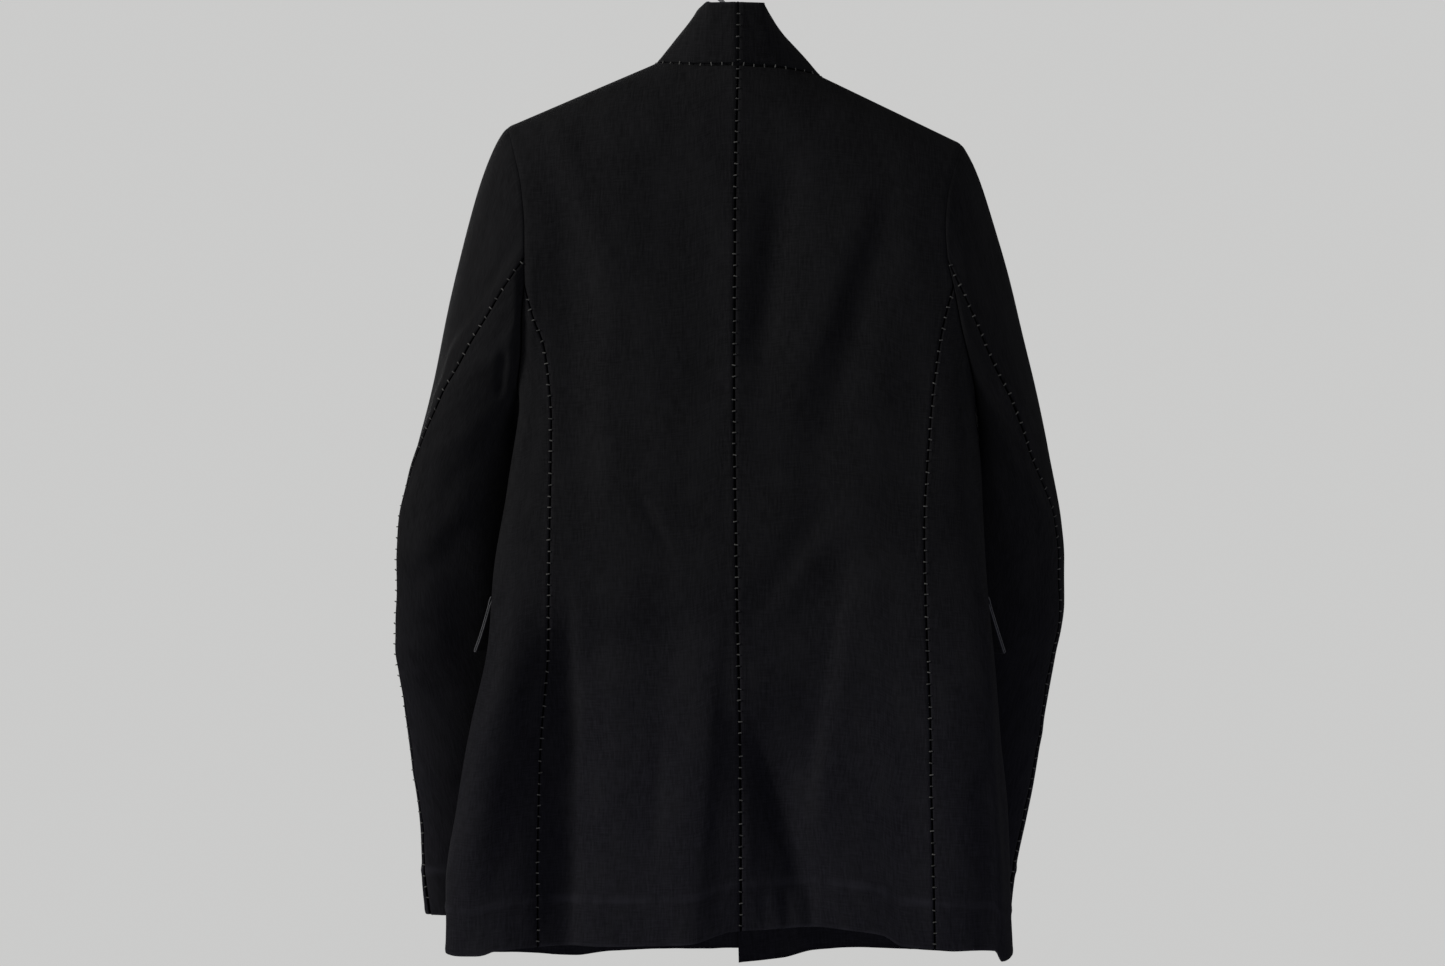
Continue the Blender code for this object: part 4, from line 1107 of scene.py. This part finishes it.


# The cloth's dye, and the painted bluish skylight that makes it paler and bluer near the hem
DYE_DARK, DYE_LIGHT = (0.0068, 0.0067, 0.0071), (0.0147, 0.0145, 0.0153)
PRESSED_LIGHT = (0.0150, 0.0148, 0.0158)
# Painted skylight: the cloth is drawn paler and bluer low down, where it turns up towards the sky's light
PAINTED_SKYLIGHT_TINT = (1.07, 1.05, 1.24)
PAINTED_SKYLIGHT_FADE = (-0.74, -0.42)        # heights between which that change fades out
VEIL_TINT, WORN_TINT = 1.35, 1.5    # its paler clouds, and where it is rubbed
# Grain of the weave across and along the cut
STREAKS = ((620, 70, 1), 3.0, 0.6)
SLUBS = ((1300, 90, 1), 2.0, 0.6)
WEFTS = ((75, 900, 1), 2.0, 0.5)
CLOUDS = ((34, 14, 1), 2.0, 0.5)
TONE_SHARES = (0.4, 0.3, 0.3)       # of streaks, slubs and wefts
WEAVE = {"X": 290.0, "Y": 250.0}    # bands of the warp and of the weft
WEAVE_WAVER = 1.2
WEAVE_HEIGHT, SLUB_HEIGHT, SLUB_STRENGTH = 0.00006, 0.0005, 0.8


def tinted(colour, change):
    return tuple(part * tint for part, tint in zip(colour, change))


def cloth_material(name, light, roughness, specular):
    """Slubbed plain weave, with painted bluish skylight that makes the dye a little bluer and paler towards
    the hem.
    """
    made = Nodes(name)
    cut = made.add("UVMap", {"uv_map": "cut"}).outputs[0]
    streaks, slubs, wefts, clouds = (made.noise(cut, *grain) for grain in (STREAKS, SLUBS, WEFTS, CLOUDS))
    parts = [made.math("MULTIPLY", grain, share)
             for grain, share in zip((streaks, slubs, wefts), TONE_SHARES)]
    tone = made.math("ADD", made.math("ADD", parts[0], parts[1]), parts[2])
    shade = made.spans(tone, 0.36, 0.66)
    height = made.add("SeparateXYZ", Vector=made.add("TexCoord").outputs["Object"]).outputs["Z"]
    # Painted bluish skylight, mixed in by height towards the hem
    painted_skylight_colour = tinted(light, PAINTED_SKYLIGHT_TINT)
    low = made.mixed(shade, tinted(DYE_DARK, PAINTED_SKYLIGHT_TINT), painted_skylight_colour)
    colour = made.mixed(made.spans(height, *PAINTED_SKYLIGHT_FADE), low, made.mixed(shade, DYE_DARK, light))
    veil = made.spans(clouds, 0.35, 0.7, 0.0, 0.22)
    colour = made.mixed(veil, colour, tinted(light, [VEIL_TINT] * 3))
    rubbed = made.math("MULTIPLY", made.add("Attribute", {"attribute_name": "wear"}).outputs["Fac"],
                       made.spans(clouds, 0.35, 0.65, 0.1, 0.7))
    colour = made.mixed(rubbed, colour, tinted(painted_skylight_colour, [WORN_TINT] * 3))
    warp, weft = (made.add("TexWave", {"wave_type": "BANDS", "bands_direction": way}, Vector=cut, Scale=scale,
                           Distortion=WEAVE_WAVER).outputs["Fac"] for way, scale in WEAVE.items())
    normal = made.bump(made.math("ADD", warp, weft), WEAVE_HEIGHT)
    normal = made.bump(tone, SLUB_HEIGHT, SLUB_STRENGTH, normal)
    made.set(Base_Color=colour, Normal=normal, Specular_IOR_Level=specular,
             Roughness=made.spans(slubs, 0.3, 0.7, roughness, min(1.0, roughness + 0.12)))
    return made.material


def plain_material(name, dark, light, scale, roughness, metallic=0.0, bump=0.0002, specular=0.5):
    """An even finish with a fine grain, of one colour or between two."""
    made = Nodes(name)
    place = made.add("TexCoord").outputs["Object"]
    grain = made.noise(place, scale, 4.0, 0.6)
    fine = made.noise(place, tuple(4 * part for part in scale), 2.0, 0.6)
    blend = made.math("ADD", made.math("MULTIPLY", grain, 0.7), made.math("MULTIPLY", fine, 0.3))
    made.set(Base_Color=made.mixed(made.spans(blend, 0.35, 0.65), dark, light), Metallic=metallic,
             Normal=made.bump(blend, bump), Specular_IOR_Level=specular,
             Roughness=made.spans(fine, 0.3, 0.7, roughness - 0.08, roughness + 0.08))
    return made.material


FINE_GRAIN = (900, 900, 900)
# Painted shade: a far darker cloth for rim faces sunk in seams, where the light hardly reaches
painted_seam_shade = plain_material("painted_seam_shade", (0.0006, 0.0006, 0.0008), (0.0014, 0.0014, 0.0018),
                            (900, 900, 200), 0.95, specular=0.05)
cloth = cloth_material("black_cloth", DYE_LIGHT, 0.9, 0.05)
flap_cloth = cloth_material("pressed_cloth", PRESSED_LIGHT, 0.78, 0.14)
# Pressed flap edges: their lower roughness is real shine, their paler colour a painted highlight
pressed_edge_highlight = plain_material("pressed_edge_highlight", (0.022, 0.022, 0.025), (0.055, 0.055, 0.06), FINE_GRAIN, 0.5)
thread = plain_material("lacing_thread", (0.028, 0.028, 0.027), (0.125, 0.122, 0.112), (150, 150, 260), 0.75,
                        bump=0.0001, specular=0.3)
button_thread = plain_material("button_thread", (0.008, 0.008, 0.009), (0.02, 0.02, 0.022), FINE_GRAIN, 0.7)
button_plastic = plain_material("button_plastic", (0.006, 0.006, 0.007), (0.022, 0.021, 0.022),
                                (300, 300, 500), 0.34)
wood = plain_material("hanger_wood", (0.24, 0.13, 0.06), (0.46, 0.28, 0.15), (25, 420, 420), 0.42)
steel = plain_material("hook_steel", (0.52, 0.52, 0.54), (0.68, 0.68, 0.70), (1500, 1500, 220), 0.3,
                       metallic=1.0, bump=0.00005)
floor_paint = plain_material("pale_floor", (0.74, 0.74, 0.73), (0.8, 0.8, 0.79), (6, 6, 6), 0.8)


# Building the pieces

def dress(item, slot, *nodes):
    """The piece rides with the part and stands for its nodes. The slot is not used."""
    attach(item, "root")
    if nodes:
        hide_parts(*nodes)


def dress_cloth(item, node):
    """A cloth piece is dressed like the others; its cut is looked up in the table but not passed on."""
    dress(item, "cloth", node)
    part, _, side = node.rpartition("_")
    held, on, *cuts = CUTS[part if part in CUTS else node]
    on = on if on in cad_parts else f"{on}_{side}"


def build_body_side(side):
    """One side's cloth, but for the collar, and its lacing. Gives the back and the front."""
    name = SIDE_NAMES[side]
    back, front, middle = back_panel(side), front_panel(side), side_panel(side)
    below = np.arange(len(back[0])) <= ROWS_LOW
    seam_kind = np.where(below, LACED, PLAIN)
    top_kind = np.where(np.arange(back[0].shape[1]) <= NECK_STEPS, LACED, PLAIN)
    front_top = np.where(np.arange(front[0].shape[1]) <= FRONT_NECK_STEPS, LACED, PLAIN)
    upper, lower = sleeves(side, armhole_loop(back[0], front[0], middle[0]))
    hem, cuff = (2, HEM_BAND), (3, CUFF_BAND)
    shells = {
        # points and outward directions, edges, turned-up allowance
        "back": (back, (LACED, seam_kind, FREE, top_kind), hem),
        "front": (front, (FREE, PLAIN, FREE, front_top), hem),
        "side": (middle, (LACED, PLAIN, FREE, PLAIN), hem),
        "upper_sleeve": (upper, (PLAIN, LACED, PLAIN, FREE), cuff),
        "under_sleeve": (lower, (LACED, PLAIN, PLAIN, FREE), cuff),
    }
    made = {part: shell(f"{part}_{name}_cloth", *surface, cloth, edges, band=band)
            for part, (surface, edges, band) in shells.items()}
    made["lapel"] = shell(f"lapel_{name}_cloth", *lapel(side), cloth, (FREE, FREE, FREE, PLAIN), LAPEL)
    made["pocket_flap"] = pocket_flap(side, f"pocket_flap_{name}_cloth", flap_cloth)
    for part, item in made.items():
        dress_cloth(item, f"{part}_{name}")
    seam = slice(0, ROWS_LOW + 1)
    dress(lacing(f"side_lacing_{name}", back[0][seam, -1], back[1][seam, -1]), "cloth")
    dress(lacing(f"elbow_lacing_{name}", lower[0][:, 0], lower[1][:, 0]), "cloth")
    return back, front


def build_collar(panels):
    """The collar's layers, and the lacing of the neckline and of the whole centre back."""
    edges = {side: collar_edge(back[0], front[0]) for side, (back, front) in panels.items()}
    leaves = {side: collar_side(side, edge) for side, edge in edges.items()}
    inner_halves = []
    for side, leaf in leaves.items():
        name = SIDE_NAMES[side]
        normals = surface_normals(leaf, side, before=leaves[-side][:, 1])
        under = shell(f"under_collar_{name}_cloth", leaf, normals, cloth, (LACED, FREE, LACED, FREE), LEAF)
        dress_cloth(under, f"under_collar_{name}")
        dress(lacing(f"neck_lacing_{name}", edges[side], normals[0]), "cloth")
        inner_halves.append(leaf - normals * (LEAF + LEAF_GAP))
    joined = np.concatenate((inner_halves[1][:, :0:-1], inner_halves[0]), axis=1)
    # It runs on below the neckline, inside, where it closes the open seam from behind
    below = 2 * joined[0] - joined[1] - surface_normals(joined, LEFT)[0] * COLLAR_TUCK
    joined = np.concatenate((below[None], joined))
    upper = shell("upper_collar_cloth", joined, surface_normals(joined, LEFT), cloth,
                  (FREE, FREE, PLAIN, FREE), LEAF)
    dress_cloth(upper, "upper_collar")
    back = panels[LEFT][0]
    collar_normals = surface_normals(leaves[LEFT], LEFT, before=leaves[RIGHT][:, 1])
    centre = np.concatenate((back[0][:-1, 0], leaves[LEFT][:, 0]))
    outward = np.concatenate((back[1][:-1, 0], collar_normals[:, 0]))
    dress(lacing("centre_lacing", centre, outward), "cloth")


def pierced(item, holes, radius):
    """Cuts round holes through a piece along its Z axis."""
    made = bmesh.new()
    for x, y in holes:
        bmesh.ops.create_cone(made, cap_ends=True, segments=BUTTON_HOLE_SIDES, radius1=radius, radius2=radius,
                              depth=4 * BUTTON_THICKNESS, matrix=Matrix.Translation((x, y, 0.0)))
    cutter = bpy.data.objects.new("cutter", bpy.data.meshes.new("cutter"))
    made.to_mesh(cutter.data)
    made.free()
    bpy.context.scene.collection.objects.link(cutter)
    modifier = item.modifiers.new("holes", "BOOLEAN")
    modifier.object = cutter
    seen = item.evaluated_get(bpy.context.evaluated_depsgraph_get())
    whole, item.data = item.data, bpy.data.meshes.new_from_object(seen)
    item.modifiers.clear()
    bpy.data.meshes.remove(whole)
    bpy.data.objects.remove(cutter)


def build_buttons():
    """Buttons with a raised rim and four holes, sewn on with two threads each."""
    turns = np.linspace(0, 2 * math.pi, BUTTON_SIDES, endpoint=False)
    ring = np.arange(BUTTON_SIDES)
    lowest = (len(BUTTON_PROFILE) - 1) * BUTTON_SIDES
    circle = np.stack((np.cos(turns), np.sin(turns), 0 * turns), axis=-1)
    corners = np.concatenate([radius * circle + (0, 0, level) for radius, level in BUTTON_PROFILE])
    faces = [ring.tolist(), (lowest + ring)[::-1].tolist()]
    for low in range(0, lowest, BUTTON_SIDES):
        high, beside = low + BUTTON_SIDES, np.roll(ring, -1)
        faces += np.stack((low + ring, high + ring, high + beside, low + beside), axis=-1).tolist()
    apart = (-BUTTON_HOLE_OUT, BUTTON_HOLE_OUT)
    sewn = []
    for number, height in enumerate(BUTTON_HEIGHTS, start=1):
        point, normal = front_surface(np.array([float(centre_front(height))]), np.array([height]), LEFT)
        turn = Vector(normal[0]).to_track_quat("Z", "Y").to_matrix()
        middle = point[0] + normal[0] * (SEAM + BUTTON_THICKNESS / 2)
        item = mesh_piece(f"button_{number}_body", corners, faces, button_plastic)
        pierced(item, [(x, y) for x in apart for y in apart], BUTTON_HOLE_RADIUS)
        item.data.transform(Matrix.Translation(placed(middle)) @ turn.to_4x4() @ Matrix.Scale(MM, 4))
        item.data.shade_smooth()
        item.data.set_sharp_from_angle(angle=BUTTON_CREASE)
        dress(item, "button", f"button_{number}")
        across, up = np.array(turn @ Vector((1, 0, 0))), np.array(turn @ Vector((0, 1, 0)))
        sewn += [(middle + normal[0] * BUTTON_FACE + up * place, across * BUTTON_HOLE_OUT, normal[0])
                 for place in apart]
    dress(bars("button_threads", sewn, THREAD_RADIUS, button_thread), "button")


panels = {side: build_body_side(side) for side in (LEFT, RIGHT)}
build_collar(panels)
build_buttons()
for node, material in (("hanger", wood), ("hook", steel)):
    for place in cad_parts[node].material_slots:
        place.material = material

# Stage: floor, world, lights and camera

BACKDROP = (0.60, 0.60, 0.595, 1.0)
AMBIENT = 0.25              # the world's strength as a light
FLOOR_TOP, FLOOR_RADIUS, FLOOR_DEPTH = -1.69, 1.2, 0.02
LIGHTS = (
    # name, power, width and height, place, aim, colour
    ("key", 310.0, (1.8, 3.0), (5.9, 2.7, 1.6), (0.0, 0.0, -0.45), (1.0, 1.0, 1.0)),
    ("sky", 7.0, (2.2, 1.0), (-0.9, 1.9, -1.4), (0.0, 0.0, -0.85), (0.66, 0.7, 1.0)),
    ("front_fill", 26.0, (1.4, 1.6), (0.9, -2.0, 0.3), (0.0, 0.0, -0.45), (1.0, 1.0, 1.0)),
    ("side_fill", 8.0, (1.2, 1.6), (-3.0, -0.3, 0.4), (0.0, 0.0, -0.45), (1.0, 1.0, 1.0)),
)


def light(name, energy, size, place, aim, colour):
    data = bpy.data.lights.new(name, "AREA")
    data.shape = "RECTANGLE"
    data.size, data.size_y = size
    data.energy = energy
    data.color = colour
    item = bpy.data.objects.new(name, data)
    item.location = place
    item.rotation_euler = (Vector(aim) - Vector(place)).to_track_quat("-Z", "Y").to_euler()
    bpy.context.scene.collection.objects.link(item)


bpy.ops.mesh.primitive_cylinder_add(vertices=96, radius=FLOOR_RADIUS, depth=FLOOR_DEPTH,
                                    location=(0, 0, FLOOR_TOP - FLOOR_DEPTH / 2))
floor = bpy.context.object
floor.name = "floor"
floor.data.materials.append(floor_paint)

world = bpy.data.worlds.new("studio")
bpy.context.scene.world = world
world.use_nodes = True
studio = world.node_tree
seen_world = studio.nodes["Background"]
soft_world = studio.nodes.new("ShaderNodeBackground")
for background in (seen_world, soft_world):
    background.inputs["Color"].default_value = BACKDROP
soft_world.inputs["Strength"].default_value = AMBIENT
either = studio.nodes.new("ShaderNodeMixShader")
studio.links.new(studio.nodes.new("ShaderNodeLightPath").outputs["Is Camera Ray"], either.inputs[0])
studio.links.new(soft_world.outputs[0], either.inputs[1])
studio.links.new(seen_world.outputs[0], either.inputs[2])
studio.links.new(either.outputs[0], studio.nodes["World Output"].inputs[0])

for row in LIGHTS:
    light(*row)

camera_data = bpy.data.cameras.new("camera")
camera_data.lens, camera_data.sensor_width = LENS, SENSOR
camera = bpy.data.objects.new("camera", camera_data)
camera.location = placed(CAMERA)
camera.rotation_euler = (math.pi / 2, 0, math.pi)
bpy.context.scene.collection.objects.link(camera)
bpy.context.scene.camera = camera
bpy.context.scene.view_settings.view_transform = "Standard"
